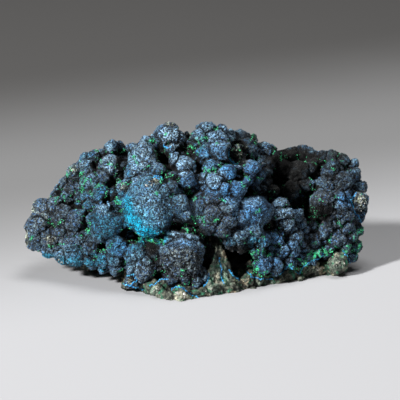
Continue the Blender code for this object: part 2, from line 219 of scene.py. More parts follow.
# Where the rock stayed round, as across, rise, two radii and strength
ROUND_PLACES = ((47.7, 4.3, 4.4, 4.4, 1.0), (8.0, 3.0, 5.0, 7.0, 0.7))

# Round nodules in the rock, as across, rise, depth and radius
ROCK_NODULES = (
    (-13.3, -3.7, -21, 2.6), (-10.7, -2.9, -22, 2.8), (-5.7, -4.7, -24, 2.6),
    (47.7, 4.3, 1, 4.2), (-21.5, -1.8, -16, 2.3), (33.5, -0.4, -3.2, 2.4), (40.5, 2.6, 0.6, 2.6),
)

# Corners of the broken chunks, in x, y, z
ROCK_CHUNKS = {
    "toe": (
        (-25.5, -10, -6), (-19, -19.5, -6), (-12.5, -28, -6), (-6.5, -31, -6), (1.5, -26.6, -6),
        (15, -17, -6), (29, -9.5, -6), (43, -1, -6), (51.5, 5, -6), (52, 18, -6), (46, 25, -6),
        (-22, 24, -6), (-28, 8, -6), (-23.5, -10, 4), (-16.5, -18.7, 3.8), (-9, -26.4, 3.4),
        (-4, -27, 3.4), (2, -24, 3.4), (15, -15, 3), (29, -7.5, 2.8), (43, 2, 4.6),
        (50, 9.5, 4.5), (44, 24, 7), (-20, 22, 7),
    ),
    "spur": (
        (6.9, -16.3, 16), (8.7, -14.6, 16.5), (2, -24.8, -4), (14.5, -16, -4), (8, -9, 2),
        (4.2, -19.8, 8.5), (11.6, -14.5, 9),
    ),
    "left_wall": (
        (-24, 4, -6), (-20, 24, -6), (12, 26, -6), (12, 4, -6), (-8, -5, 12), (7, -3, 9),
        (-57, 2, 11.5), (-56.2, 4.5, 16), (-54, 5.5, 20.5), (-51.5, 7.5, 24), (-46, 16, 19),
        (-42, 10, 28), (-30, 14, 34), (-18, 12, 38), (0, 12, 43), (9, 14, 42), (14, 24, 36),
        (-30, 22, 14), (0, 29, 12), (14, 28, 14),
    ),
    "right_wall": (
        (8, 10, -6), (12, 27, -6), (46, 26, -6), (50, 10, -6), (10, 20, 34), (14, 23, 37),
        (24, 26, 33), (42, 27, 32), (52, 23, 27), (55.5, 17, 18), (54, 11, 8), (20, 29, 12),
        (44, 30, 12),
    ),
}


def unit_ball(detail):
    """A ball of radius 1 to copy from."""
    bm = bmesh.new()
    bmesh.ops.create_icosphere(bm, subdivisions=detail, radius=1.0)
    mesh = bpy.data.meshes.new("unit_ball")
    bm.to_mesh(mesh)
    bm.free()
    return mesh


# A ball with a radius over this is built of more facets
LARGE_RADIUS = 6
plain_ball = unit_ball(3)
fine_ball = unit_ball(5)


def add_ball(bm, centre, radii):
    """A closed ball or ellipsoid, in millimetres, finer where it is larger."""
    copied = (fine_ball if max(radii) > LARGE_RADIUS else plain_ball).copy()
    sizes = [radius * MM for radius in radii]
    copied.transform(Matrix.Translation(centre * MM) @ Matrix.Diagonal((*sizes, 1.0)))
    bm.from_mesh(copied)
    bpy.data.meshes.remove(copied)


def object_from(bm, name):
    """A new object in the scene, holding what a bmesh holds."""
    mesh = bpy.data.meshes.new(name)
    bm.to_mesh(mesh)
    bm.free()
    made = bpy.data.objects.new(name, mesh)
    bpy.context.scene.collection.objects.link(made)
    return made


def bake(made):
    """Turn an object's modifiers into its mesh."""
    bpy.context.view_layer.update()
    shown = made.evaluated_get(bpy.context.evaluated_depsgraph_get())
    mesh = bpy.data.meshes.new_from_object(shown)
    made.modifiers.clear()
    made.data = mesh
    mesh.name = made.name


def fuse(made, voxel):
    """Join overlapping solids into one skin."""
    remesh = made.modifiers.new("fuse", "REMESH")
    remesh.mode = "VOXEL"
    remesh.voxel_size = voxel * MM
    bake(made)


def corners_of(mesh):
    """The mesh's points in millimetres and their normals, as arrays."""
    points = np.empty(len(mesh.vertices) * 3)
    normals = np.empty(len(mesh.vertices) * 3)
    mesh.vertices.foreach_get("co", points)
    mesh.vertices.foreach_get("normal", normals)
    return points.reshape(-1, 3) / MM, normals.reshape(-1, 3)


def push_out(mesh, heights):
    """Move each point along its normal by its own height in millimetres."""
    points, normals = corners_of(mesh)
    moved = (points + normals * np.asarray(heights)[:, None]) * MM
    mesh.vertices.foreach_set("co", moved.ravel())
    mesh.update()


# How much weaker and how much finer each wave of the noise is than the one before
WAVE_FADE = 0.9
WAVE_RATIO = 2.2


def fractal(points, size, depth):
    """Fractal noise at each point, with its largest pattern this many millimetres wide."""
    return np.array([
        noise.fractal(Vector(p) / size, WAVE_FADE, WAVE_RATIO, depth) for p in points
    ])


# How much of a cell its rounded edge takes
PILLOW_EDGE = 0.6


def pillows(points, size):
    """A field of round-topped cells this many millimetres apart, parted by grooves, 0 to 1."""
    heights = np.empty(len(points))
    for at, p in enumerate(points):
        near = noise.voronoi(Vector(p) / size)[0]
        heights[at] = (near[1] - near[0]) / PILLOW_EDGE
    return 1.0 - (1.0 - np.clip(heights, 0.0, 1.0)) ** 2


def thin_out(made, faces, spare):
    """Bring a mesh down to about this many triangles, giving up most where spare is near 1."""
    group = made.vertex_groups.new(name="spare")
    for level in (0.0, 1.0):
        chosen = np.nonzero((spare > 0.5) == bool(level))[0].tolist()
        group.add(chosen, level, "REPLACE")
    triangles = sum(len(face.vertices) - 2 for face in made.data.polygons)
    decimate = made.modifiers.new("thin_out", "DECIMATE")
    decimate.ratio = min(1.0, faces / triangles)
    decimate.vertex_group = "spare"
    decimate.vertex_group_factor = 1.0
    decimate.use_collapse_triangulate = True
    bake(made)
    made.vertex_groups.clear()


def set_mask(mesh, name, values):
    """Store one number from 0 to 1 for each point of a mesh, for its material to read."""
    mask = mesh.attributes.new(name, "FLOAT", "POINT")
    mask.data.foreach_set("value", np.clip(values, 0.0, 1.0).astype(np.float32))


def rise_of(points):
    """How high each point stands on the grown face, as the viewer sees it."""
    return points[:, 2] * math.cos(SIGHT_TILT) + points[:, 1] * math.sin(SIGHT_TILT)


# A patch's edge frays in a pattern this wide, and fades out over this share of its radius
FRAY_SIZE = 2.6
FADE_END = 1.3
FADE_SHARE = 0.6


def patch_mask(points, patches, wobble=0.3):
    """How much each point lies in any of the patches of across, rise, two radii and strength."""
    rise = rise_of(points)
    fray = fractal(points, FRAY_SIZE, 3) * wobble
    result = np.zeros(len(points))
    for at_across, at_rise, half_width, half_height, strength in patches:
        reach = np.hypot((points[:, 0] - at_across) / half_width, (rise - at_rise) / half_height)
        share = np.clip((FADE_END - reach + fray) / FADE_SHARE, 0.0, 1.0)
        result = np.maximum(result, strength * share)
    return result


def smooth_step(values, low, high):
    """0 below low, 1 above high, and an even ease between."""
    part = np.clip((values - low) / (high - low), 0.0, 1.0)
    return part * part * (3.0 - 2.0 * part)


rock_bm = bmesh.new()
for chunk in ROCK_CHUNKS.values():
    chunk_corners = [rock_bm.verts.new(Vector(corner) * MM) for corner in chunk]
    hull = bmesh.ops.convex_hull(rock_bm, input=chunk_corners)
    within = [item for item in hull["geom_interior"] if isinstance(item, bmesh.types.BMVert)]
    bmesh.ops.delete(rock_bm, geom=within, context="VERTS")
for nodule in ROCK_NODULES:
    add_ball(rock_bm, in_space(*nodule[:3]), (nodule[3],) * 3)
bmesh.ops.recalc_face_normals(rock_bm, faces=rock_bm.faces[:])
rock = object_from(rock_bm, "broken_host_rock")
fuse(rock, ROCK_VOXEL)
rock_points, rock_normals = corners_of(rock.data)
push_out(rock.data, fractal(rock_points, ROCK_WAVE_SIZE, 3) * ROCK_WAVE)
rock_points, rock_normals = corners_of(rock.data)
knobs = pillows(rock_points, KNOB_SIZE)
chips = pillows(rock_points + fractal(rock_points, 3.0, 2)[:, None] * 0.5, CHIP_SIZE)
grit = pillows(rock_points, GRIT_SIZE)
rough = 1.0 - 0.75 * patch_mask(rock_points, ROUND_PLACES, 0.0)
relief = (knobs - KNOB_LEVEL) * KNOB_HEIGHT + (chips - CHIP_LEVEL) * CHIP_HEIGHT
push_out(rock.data, relief * rough + (grit - GRIT_LEVEL) * GRIT_HEIGHT)
# The relief mask, low between the knobs, chips and grit, darkens the rock's colour there as painted
# shade
set_mask(rock.data, "relief", 0.3 * knobs + 0.4 * chips + 0.3 * grit)
thin_out(rock, ROCK_FACES, np.zeros(len(rock_points)))

# It is sawn flat at the floor, and the cut is closed
rock_bm = bmesh.new()
rock_bm.from_mesh(rock.data)
sawn = bmesh.ops.bisect_plane(
    rock_bm, geom=rock_bm.verts[:] + rock_bm.edges[:] + rock_bm.faces[:],
    plane_co=(0, 0, 0), plane_no=(0, 0, 1), clear_inner=True,
)
rim_edges = [item for item in sawn["geom_cut"] if isinstance(item, bmesh.types.BMEdge)]
bmesh.ops.contextual_create(rock_bm, geom=rim_edges)
rock_bm.to_mesh(rock.data)
rock_bm.free()


# The crust. Cornetite, a basic copper phosphate, grew on the rock as lumps, domes and short
# columns run together into one botryoidal mass. Each lump is the round end of a column, and deep
# clefts part them. The rows are across, rise, depth and radius.
CRUST_VOXEL = 0.38
CRUST_FACES = 194000

LUMPS = {
    "left_arm": (
        (-50, 22, 2, 4.4), (-52, 16.5, 1, 5), (-53, 12.5, 2, 4.2), (-48.3, 13, -3, 3),
        (-49, 9, 0, 3.2), (-46, 23.5, -1, 3.6), (-42.7, 26, 0, 3.2), (-44.3, 20.7, -3, 4),
        (-39.3, 19, -6, 3.8), (-44.7, 15, -5, 2.6), (-41.3, 11.7, -7, 3.2),
        (-37.7, 12.3, -9, 2.4), (-34.7, 10, -9, 3.2), (-39.7, 6.7, -6, 3.6),
        (-44.3, 6.7, -4, 3), (-35, 5.7, -8, 3),
    ),
    "left_crest": (
        (-41.5, 29, 2, 3.2), (-43.5, 31.5, 4, 2.6), (-40, 34.5, 5, 3), (-36, 39, 7, 3),
        (-33.3, 40, 6, 3), (-28, 42.6, 7, 3.1), (-25.5, 43, 10, 2.5), (-31, 41.5, 6, 2.1),
        (-28.3, 37, 0, 3.9), (-30, 34, -1, 3.2), (-34.7, 32, 0, 3.2), (-36, 36, 3, 2.6),
        (-24.3, 37, 0, 2), (-25.7, 33.7, -1, 2.2), (-38.3, 29, 1, 2.6), (-35.7, 27.3, -3, 2.2),
        (-34.7, 23.7, -6, 2.3), (-31.7, 27, -6, 3.4), (-27.3, 27.3, -6, 2.4),
    ),
    "teal_boulder": (
        (-29.3, 18.3, -11, 5.4), (-29.7, 22.3, -13, 2.2), (-32.7, 19.7, -12, 2.6),
        (-26.3, 18.3, -13, 3), (-30.7, 15, -12, 3.6), (-25.3, 10.3, -14, 3.8),
        (-26.3, 6.7, -14, 3), (-29.7, 6.7, -12, 2.8), (-25.7, 3, -14, 2.4), (-30, 3, -10, 2.2),
    ),
    "turquoise_dome": (
        (-14.6, 26.2, -11, 8.2), (-14.2, 21.6, -12, 8.5), (-16.9, 21.2, -12, 6.6),
        (-10.9, 22.5, -13, 6.2), (-17.3, 39.7, -4, 5.4), (-18, 35, -6, 5.2),
        (-20.3, 42.3, -3, 2.8), (-16, 44, -1, 3), (-15, 39, -6, 3), (-11.3, 35.7, -10, 2.2),
        (-10, 29.3, -17, 2.2), (-7.3, 30, -16, 2), (-12.3, 31.3, -16, 2.2),
        (-15, 31.7, -15, 2.4), (-22.7, 29.7, -10, 2.9), (-23, 24.7, -11, 3.2),
        (-5.3, 24.7, -16, 3.2), (-3.3, 21, -16, 2.2), (-5.7, 19.7, -16, 1.8),
    ),
    "summit_left": (
        (-9, 46, 1, 4.8), (-8.3, 49, 3, 2.9), (-11.7, 45, 0, 3), (-7.7, 42.3, -2, 2.8),
        (-6.3, 46, 1, 3.2), (-2.7, 46.7, 6, 1.9), (-2.3, 42.3, 1, 1.8), (-6, 38.7, -7, 2.6),
        (-3.3, 36.7, -8, 3.4), (-3.3, 32.3, -10, 3.6), (-0.7, 33, -9, 2),
        (-6.7, 33.3, -11, 2.2),
    ),
    "summit_right": (
        (4.3, 48.5, 3, 3.5), (2, 46.3, 1, 3.4), (7, 45.7, 1, 3.8), (8.7, 48.6, 4, 2.5),
        (3, 40.3, -2, 4.2), (8, 41.7, -2, 4.2), (5.7, 36.7, -5, 3.8), (1.7, 49.6, 2, 1.5),
        (0.3, 43.3, -1, 2.2), (11, 45.7, 4, 2.4),
    ),
    "shaded_shoulder": (
        (15, 46.2, 9, 3.1), (19.3, 46.5, 9, 1.5), (17.3, 42.7, 6, 3.8), (22.7, 42, 9, 3.1),
        (25.3, 40, 10, 3), (26, 42, 12, 2), (23.7, 37.3, 7, 2.8), (14.3, 41.3, 0, 3.4),
        (18.3, 35.3, -3, 4.2), (17, 31.7, -6, 2.4), (21, 33.7, -3, 2.8), (15, 36.3, -4, 2.2),
    ),
    "blue_trio": (
        (10.7, 35, -8, 3.1), (6.7, 31, -10, 3.7), (2.7, 32.3, -9, 2.7),
        (10.3, 28.7, -12, 2.8), (13.7, 29, -11, 3.3),
    ),
    "grey_mantle": (
        (1.3, 24, -12, 4.4), (5.7, 25.7, -12, 4.2), (5.7, 21, -14, 4.4), (10.7, 23, -13, 4.2),
        (14, 20.3, -13, 3.1), (11.3, 19, -15, 3.1), (4.3, 17, -15, 3.4), (9, 16.3, -15, 3.1),
        (0.7, 20, -14, 2.8), (14.3, 14, -13, 3), (11.7, 12.7, -13, 2.4), (15.3, 10, -12, 2.4),
        (18.3, 13, -11, 2.4),
    ),
    "right_boulder": (
        (19.3, 22.7, -9, 4.8), (22, 23, -7, 3.9), (18.7, 17, -10, 3.4), (21.7, 12.3, -10, 3),
        (21, 8.7, -11, 2.8), (22.7, 4, -11, 3.2), (26.3, 3, -10, 2.7),
    ),
    "right_column": (
        (28.7, 24.3, -4, 2.5), (29.3, 20.7, -5, 3), (29.7, 17.3, -5, 3), (27, 13, -7, 2.8),
        (29, 9, -7, 2.7), (32.3, 8.7, -5, 3.3), (34, 21, -1, 2.4), (35, 17.7, 0, 2.7),
        (33.7, 13.3, -3, 2.6), (31.5, 4.6, -5.5, 2.4),
    ),
    "front_boulder": (
        (-4.3, 7.3, -19, 7.4), (-5.7, 13.3, -18, 2.8), (-1.7, 12, -19, 3),
        (-7.7, 11.7, -19, 2.6), (0.7, 9.3, -20, 2.8), (-8.3, 5.7, -22, 3.2),
        (-1.7, 4.3, -23, 3.2), (0.3, -1.3, -21, 2.8), (-4, -0.7, -22, 2.2),
        (3.3, 0.7, -19, 2.4), (-8.3, -0.7, -22, 2.2),
    ),
    "front_left": (
        (-19.3, 8, -16, 4), (-16.3, 2, -19, 3.8), (-20.3, 3.3, -17, 2.8),
        (-15.7, 5, -19, 2.4), (-17.7, 11.3, -15, 2.2), (-21, -1, -18, 2.4),
    ),
    "right_end": (
        (46.7, 39.4, 19, 3.5), (49.7, 39.6, 18, 2.7), (52.7, 37.8, 18, 2.3),
        (46, 35, 12, 3.8), (44.3, 31.3, 10, 3.2), (49.3, 32.3, 11, 3.8), (42.7, 24.7, 6, 4.3),
        (50, 27, 10, 3.2), (51, 23.3, 9, 2.8), (55, 25, 11, 3.4), (55.3, 30, 14, 2.8),
        (53.7, 33.7, 15, 2.6), (50.7, 17.3, 8, 3.7), (52.3, 13, 8, 3), (43.3, 15.3, 3, 3.2),
        (40.3, 12, 2, 2.7), (47.7, 12, 4, 3.4), (44.7, 8.3, 2, 2.7), (50, 9, 4, 2.7),
        (54, 9.7, 8, 2.4), (53, 6, 7, 2), (39.3, 17, 3, 2.3), (47.7, 21, 8, 2.7),
        (41.7, 8, 1, 2.4), (37, 9, 0, 2.4), (36.2, 5.4, -2.5, 2.3), (40, 5.2, -0.5, 2.1),
        (54.6, 19.6, 11, 2.9), (54.2, 15.4, 10, 2.8), (56.2, 21.8, 12, 2), (51, 19.8, 6, 2.4),
    ),
    "back_ridge": (
        (29.3, 41, 24, 2.8), (32.7, 41.4, 25, 2.6), (36.3, 41.6, 26, 2.8),
        (40, 40, 24, 2.8), (43.3, 40.2, 21, 2.6), (34.3, 35, 15, 4.4), (30.7, 36.3, 15, 3.2),
        (38.7, 35.7, 17, 3), (37.7, 30.7, 13, 3), (32.3, 29, 9, 3.2), (26, 29, 4, 2.4),
    ),
}

# Masses behind the lumps, which the dark clefts lead down to: x, y, z and the three radii
CORES = (
    (-7, -9, 12, 12, 11, 10),
    (-6, -2, 26, 17, 11, 13),
    (2, 6, 36, 12, 9, 11.5),
    (-28, 4, 23, 14, 8.5, 15),
    (-42, 3, 17, 14, 6.5, 8.5),
    (28, 4, 12, 10.5, 9.5, 10.5),
    (-6, 5, 37, 9, 6, 8),
    (47, 13, 17, 7, 9, 15),
    (33, 20, 18, 16, 8, 15),
    (16, 8, 32, 9, 8, 10),
)


# Each column thins to this share of its lump, in steps of this share of the radius, and ends once
# it is inside a core
STEM_SHARE = 0.78
STEM_STEP = 0.65
STEM_END = 0.85


def nearest_core(point):
    """The core that lies nearest to a point, and how far out of it the point is (1 = on it)."""
    best = None
    for core in CORES:
        centre = Vector(core[:3])
        offset = point - centre
        reach = Vector((offset.x / core[3], offset.y / core[4], offset.z / core[5])).length
        if best is None or reach < best[1]:
            best = (centre, reach)
    return best


def column(row):
    """The balls of one lump and of the column that carries it, back to the mass it grew from."""
    radius = row[3]
    point = in_space(*row[:3])
    balls = [(*point, radius, radius, radius)]
    centre, reach = nearest_core(point)
    while reach > STEM_END:
        point = point + (centre - point).normalized() * radius * STEM_STEP
        balls.append((*point, *(radius * STEM_SHARE,) * 3))
        centre, reach = nearest_core(point)
    return balls


# Lumps over the back of the crest, in rows that run back from the skyline
BACK_START = -51.0
BACK_END = 53.0
BACK_COLUMN_STEP = 4.8
BACK_ROW_STEP = 4.6
BACK_FIRST_ROW = 0.8
BACK_DEPTH_LIMIT = 25.0
BACK_LOWEST = 24
BACK_RADII = (2.3, 3.4)
BACK_DROP = (0.4, 1.6)
BACK_SINK = 1.2
BACK_STRAY = 1.2
BACK_DEPTH_STRAY = 0.8
BACK_SEED = 11
CROWN_REACH = 1.5


def crown(across, rows):
    """The skyline of the lumps at one place across: its rise, and the depth of what makes it."""
    near = [row for row in rows if abs(row[0] - across) < row[3] + CROWN_REACH]
    if not near:
        return None
    top = max(near, key=lambda row: row[1] + row[3])
    return top[1] + top[3], top[2]


def back_slope(rows):
    """Lumps over the back of the crest, each lower than the skyline that the front ones make."""
    rng = random.Random(BACK_SEED)
    grown = []
    across = BACK_START
    while across < BACK_END:
        skyline = crown(across, rows)
        across += BACK_COLUMN_STEP
        if skyline is None:
            continue
        rise, depth = skyline
        depth += BACK_FIRST_ROW * BACK_ROW_STEP
        while depth < BACK_DEPTH_LIMIT and rise > BACK_LOWEST:
            radius = rng.uniform(*BACK_RADII)
            rise -= rng.uniform(*BACK_DROP)
            place = across - BACK_COLUMN_STEP + rng.uniform(-BACK_STRAY, BACK_STRAY)
            stray = rng.uniform(-BACK_DEPTH_STRAY, BACK_DEPTH_STRAY)
            grown.append((place, rise - radius - BACK_SINK, depth + stray, radius))
            depth += BACK_ROW_STEP
    return grown


sight = np.array(line_of_sight)


def first_met(start, balls):
    """How far along the line of sight the first of these balls lies, in millimetres."""
    radii = balls[:, 3:]
    offset = (np.array(start) - balls[:, :3]) / radii
    way = sight / radii
    square = (way * way).sum(axis=1)
    half = (offset * way).sum(axis=1)
    inside = half * half - square * ((offset * offset).sum(axis=1) - 1.0)
    met = np.where(inside > 0, (-half - np.sqrt(np.maximum(inside, 0.0))) / square, np.inf)
    return met.min()


# Small lumps on the bare stretches of column, over this stretch of the face, from in front of it
GAP_ACROSS = (-57.0, 59.0)
GAP_RISE = (-4.0, 52.0)
GAP_FRONT = -60.0
GAP_STEP = 2.4
GAP_STRAY = 0.9
GAP_RADII = (1.3, 2.3)
GAP_SINK = 0.3
GAP_SEED = 7


def gap_buds(lumps, others):
    """Small lumps on every bare stretch of column or mass that shows between the large ones."""
    rng = random.Random(GAP_SEED)
    found = []
    rise = GAP_RISE[0]
    while rise < GAP_RISE[1]:
        across = GAP_ACROSS[0]
        while across < GAP_ACROSS[1]:
            place = across + rng.uniform(-GAP_STRAY, GAP_STRAY)
            start = in_space(place, rise + rng.uniform(-GAP_STRAY, GAP_STRAY), GAP_FRONT)
            radius = rng.uniform(*GAP_RADII)
            bare = first_met(start, others)
            if bare < first_met(start, lumps) - GAP_SINK:
                point = start + line_of_sight * (bare + GAP_SINK * radius)
                found.append((*point, radius, radius, radius))
            across += GAP_STEP
        rise += GAP_STEP
    return found


lump_rows = [row for group in LUMPS.values() for row in group]
columns = [column(row) for row in lump_rows + back_slope(lump_rows)]
lumps = [balls[0] for balls in columns]
masses = [ball for balls in columns for ball in balls[1:]] + list(CORES)
lumps += gap_buds(np.array(lumps), np.array(masses))
crust_bm = bmesh.new()
for x, y, z, *radii in masses + lumps:
    add_ball(crust_bm, Vector((x, y, z)), radii)
crust = object_from(crust_bm, "botryoidal_cornetite")
fuse(crust, CRUST_VOXEL)

# Neighbouring lumps ran together as they grew, so the crust closes every cleft narrower than twice
# this, and wider ones where it is a broad low mantle
CLEFT_FILL = 0.45
MANTLE_FILL = 1.1

# The mantles, as across, rise, two radii and strength; each is worn even by so many rounds
MANTLE_ROUNDS = 45
MANTLE_PLACES = (
    (-48, 16, 9.5, 10, 1), (-41, 10, 8, 7, 0.9), (5, 21.5, 6.5, 5, 0.6),
    (-14.5, 24, 9, 10, 1), (-17.5, 39, 5, 7, 1), (-4.5, 6, 8, 8, 0.8),
    (35, 39.5, 10, 4, 1), (48, 33, 6, 7, 0.8), (-33, 31, 5, 5, 0.4),
    (50, 17, 6, 7, 0.5), (-29.3, 18, 5, 5.5, 1), (20.2, 19.5, 5.6, 6, 0.7),
    (33, 31, 9, 8, 0.8), (-9, 46.5, 4, 4, 0.6), (31, 14, 5, 8, 0.4),
    (-41, 4.5, 12, 3.4, 1),
)

# Two lumps swelled over their neighbours, by this many millimetres
SWELLING = 1.3
SWOLLEN_PLACES = ((20.2, 18.6, 5.6, 5.8, 1.0), (-29.3, 17.0, 4.6, 4.8, 0.5))
for way, swelling in ((1.0, SWELLING), (-1.0, 0.0)):
    crust_points = corners_of(crust.data)[0]
    mantle = patch_mask(crust_points, MANTLE_PLACES, 0.0)
    swollen = patch_mask(crust_points, SWOLLEN_PLACES)
    push_out(
        crust.data,
        way * (CLEFT_FILL + (MANTLE_FILL - CLEFT_FILL) * mantle) + swelling * swollen,
    )
    fuse(crust, CRUST_VOXEL)
mantle = patch_mask(corners_of(crust.data)[0], MANTLE_PLACES, 0.0)
group = crust.vertex_groups.new(name="mantle")
for level in range(1, 11):
    chosen = np.nonzero(np.round(mantle * 10) == level)[0].tolist()
    group.add(chosen, level / 10, "REPLACE")
wear = crust.modifiers.new("wear", "SMOOTH")
wear.iterations = MANTLE_ROUNDS
wear.vertex_group = group.name
bake(crust)
crust.vertex_groups.clear()

# No lump is a true ball: the whole mass leans this way and that over these sizes and by these
# amounts, first broadly and then finely, by a field that is the same in every run. Over it goes
# the wave of the skin
LEANS = ((6.5, 1.1), (2.6, 0.4))
LEAN_SEED = 7
SKIN_WAVE = 0.35
SKIN_WAVE_SIZE = 5.0
noise.seed_set(LEAN_SEED)


def wander(points, size):
    """A slow seeded field of directions at each point, changing over this many millimetres."""
    return np.array([tuple(noise.noise_vector(Vector(p) / size)) for p in points])


# The seams between lumps wander by this much, over this size
SEAM_STRAY = 0.8
SEAM_STRAY_SIZE = 2.5


def seam_gap(points, balls, at_once=20000):
    """How far each point is from the seam between the two lumps that it lies closest to."""
    strayed = points + wander(points, SEAM_STRAY_SIZE) * SEAM_STRAY
    gaps = np.empty(len(points))
    for start in range(0, len(points), at_once):
        part = strayed[start:start + at_once]
        away = np.linalg.norm(part[:, None] - balls[None, :, :3], axis=2) - balls[:, 3]
        nearest = np.partition(away, 1, axis=1)
        gaps[start:start + at_once] = nearest[:, 1] - nearest[:, 0]
    return gaps


seam = seam_gap(corners_of(crust.data)[0], np.array(lumps))
for size, amount in LEANS:
    crust_points = corners_of(crust.data)[0]
    leaning = (crust_points + wander(crust_points, size) * amount) * MM
    crust.data.vertices.foreach_set("co", leaning.ravel())
    crust.data.update()
push_out(crust.data, fractal(corners_of(crust.data)[0], SKIN_WAVE_SIZE, 3) * SKIN_WAVE)

# Where two lumps meet they leave a seam, this wide on either side and this deep,
SEAM_WIDTH = 0.8
SEAM_DEPTH = 0.7

# except on the domes that grew as one. A lump that broke open leaves a hollow in its shell: the
# rows of hollows are across, rise, radius and depth
SEAMLESS_PLACES = (
    (-15.5, 22, 8, 8.6, 1), (-4.5, 6.5, 6, 5, 0.8), (-29.3, 17, 5.2, 5.4, 1),
    (-17.5, 38, 4.6, 6.5, 0.7), (20.2, 19.8, 5.6, 6.2, 1),
)
HOLLOWS = ((14.4, 41.2, 4.2, 3.0), (-9.0, 44.3, 1.2, 0.9), (-48.3, 12.7, 1.5, 0.9))

# Each lump is itself made of florets this far apart, those of nodules, and those of buds. A few
# balls grew smoother and carry little but the buds, and where the crust is pitted the nodules
# stand apart
FLORET_SIZE = 3.8
NODULE_SIZE = 1.6
BUD_SIZE = 0.8
SMOOTH_PLACES = (
    (-15.5, 21.5, 8.4, 8.6, 0.6), (-28.3, 43.3, 2.4, 2.2, 1), (-29.7, 22.3, 2.6, 2.4, 0.9),
    (-11.3, 36, 2.4, 2.4, 1), (-28.3, 37.6, 3, 3, 0.5), (20, 20, 5.6, 6.2, 0.55),
    (7.3, 31.3, 5, 4.4, 0.6), (-50.7, 20.3, 3.5, 3.5, 0.7), (28.7, 25.2, 2.2, 2, 0.9),
    (-5, 35, 4, 6, 0.6), (34, 39.5, 9, 3.4, 0.8), (-29.3, 17.5, 5.4, 5.4, 0.6),
    (-17.5, 38.5, 5, 6.5, 0.45), (-25.5, 9.5, 3.6, 4.6, 0.5), (-19.5, 7.5, 3.6, 4.4, 0.4),
    (11.5, 34.7, 3.4, 3.4, 0.6), (12.5, 28.7, 4, 3.4, 0.5), (3, 40.3, 4, 4, 0.4),
    (8, 41.5, 4, 4, 0.4), (18.3, 35, 4.4, 4.4, 0.4),
)
PITTED_PLACES = (
    (-4.3, 5, 8, 7, 1), (43, 24.5, 4.6, 4.6, 0.7), (47.7, 4.3, 4, 4, 0.8),
    (-35.5, 9, 4, 4.5, 0.6), (29.5, 18.5, 3.6, 5, 0.6), (31.5, 8.5, 4, 4, 0.6),
    (48, 32, 5, 5, 0.5), (-44, 18, 5, 6, 0.5), (13, 23, 3, 3, 0.4),
    (-9.5, 25, 3, 5, 0.8), (21, 11, 4, 4, 0.6), (-38, 30, 6, 5, 0.5),
)
crust_points, crust_normals = corners_of(crust.data)
smooth = patch_mask(crust_points, SMOOTH_PLACES)
pitted = patch_mask(crust_points, PITTED_PLACES)
seamless = patch_mask(crust_points, SEAMLESS_PLACES)
seam_fall = (1.0 - seamless) * (1.0 - np.clip(seam / SEAM_WIDTH, 0.0, 1.0)) ** 1.5
florets, nodules, buds = (
    pillows(crust_points + fractal(crust_points, bend_size, 2)[:, None] * bend, size)
    for size, bend_size, bend in (
        (FLORET_SIZE, 6.0, 1.2), (NODULE_SIZE, 3.0, 0.4), (BUD_SIZE, 1.6, 0.2),
    )
)
uneven = smooth_step(fractal(crust_points, 8.0, 2), -0.4, 0.5)
hollow = np.zeros(len(crust_points))
for across, rise, radius, depth in HOLLOWS:
    reach = np.hypot(crust_points[:, 0] - across, rise_of(crust_points) - rise) / radius
    hollow += depth * np.clip(1.0 - reach ** 2, 0.0, 1.0) * (crust_normals @ sight < 0.0)
push_out(
    crust.data,
    (florets - 0.75) * (0.2 + 0.45 * uneven) * (1 - 0.85 * smooth)
    + (nodules - 0.7) * (0.14 + 0.14 * uneven + 0.4 * pitted) * (1 - 0.8 * smooth)
    + (buds - 0.6) * (0.18 - 0.06 * smooth)
    - seam_fall * SEAM_DEPTH - hollow,
)
# The relief mask is low in the grooves between florets and along the seams, and darkens the colour
# there as painted shade
groove_depth = np.minimum(0.35 + 0.65 * smooth_step(florets, 0.0, 0.45), 0.7 + 0.3 * nodules)
groove_depth = groove_depth * (1.0 - 0.7 * pitted * (1.0 - nodules))
groove_depth = np.maximum(groove_depth, 0.8 * smooth) * (1.0 - 0.9 * seam_fall)
set_mask(crust.data, "relief", groove_depth * (0.72 + 0.28 * buds))

# Points of the far side, and those sunk in the rock by more than this, need fewer facets
SUNK_DEPTH = 1.4
FAR_SIDE = 0.35


def tree_of(mesh):
    """A search tree over a mesh's faces, in millimetres."""
    points = corners_of(mesh)[0]
    faces = [tuple(face.vertices) for face in mesh.polygons]
    return BVHTree.FromPolygons([Vector(p) for p in points], faces)


rock_tree = tree_of(rock.data)


def sunk_in_rock(points):
    """How deep each point lies in the rock, in millimetres, and 0 outside it."""
    depths = np.zeros(len(points))
    for at, point in enumerate(points):
        touched, facing, face, away = rock_tree.find_nearest(Vector(point))
        if (Vector(point) - touched).dot(facing) < 0:
            depths[at] = away
    return depths


crust_points, crust_normals = corners_of(crust.data)
spare = (crust_normals @ sight > FAR_SIDE) | (sunk_in_rock(crust_points) > SUNK_DEPTH)
thin_out(crust, CRUST_FACES, spare)
crust.data.shade_smooth()
rock.data.shade_smooth()

# Clefts are dark because little of the sky reaches them, and this is painted into their colour as
# shade:
# rays go out from just over the skin, and what stands within reach stops them
OPEN_REACH = 7.0
OPEN_LIFT = 0.25
OPEN_RAYS = 14
OPEN_UPRIGHT = 1.1
OPEN_SEED = 3


def openness(points, normals, trees):
    """The share of the sky over each point that nothing within reach covers."""
    rng = random.Random(OPEN_SEED)
    spread = [
        Vector([rng.gauss(0, 1) for axis in range(3)]).normalized() for ray in range(OPEN_RAYS)
    ]
    result = np.ones(len(points))
    for at, (point, normal) in enumerate(zip(points, normals)):
        up = Vector(normal)
        start = Vector(point) + up * OPEN_LIFT
        free = 0
        for ray in spread:
            way = (up * OPEN_UPRIGHT + ray).normalized()
            free += all(tree.ray_cast(start, way, OPEN_REACH)[0] is None for tree in trees)
        result[at] = free / len(spread)
    return result


crust_points, crust_normals = corners_of(crust.data)
crust_tree = tree_of(crust.data)
crust_open = openness(crust_points, crust_normals, (crust_tree, rock_tree))
rock_points, rock_normals = corners_of(rock.data)
rock_open = openness(rock_points, rock_normals, (crust_tree,))
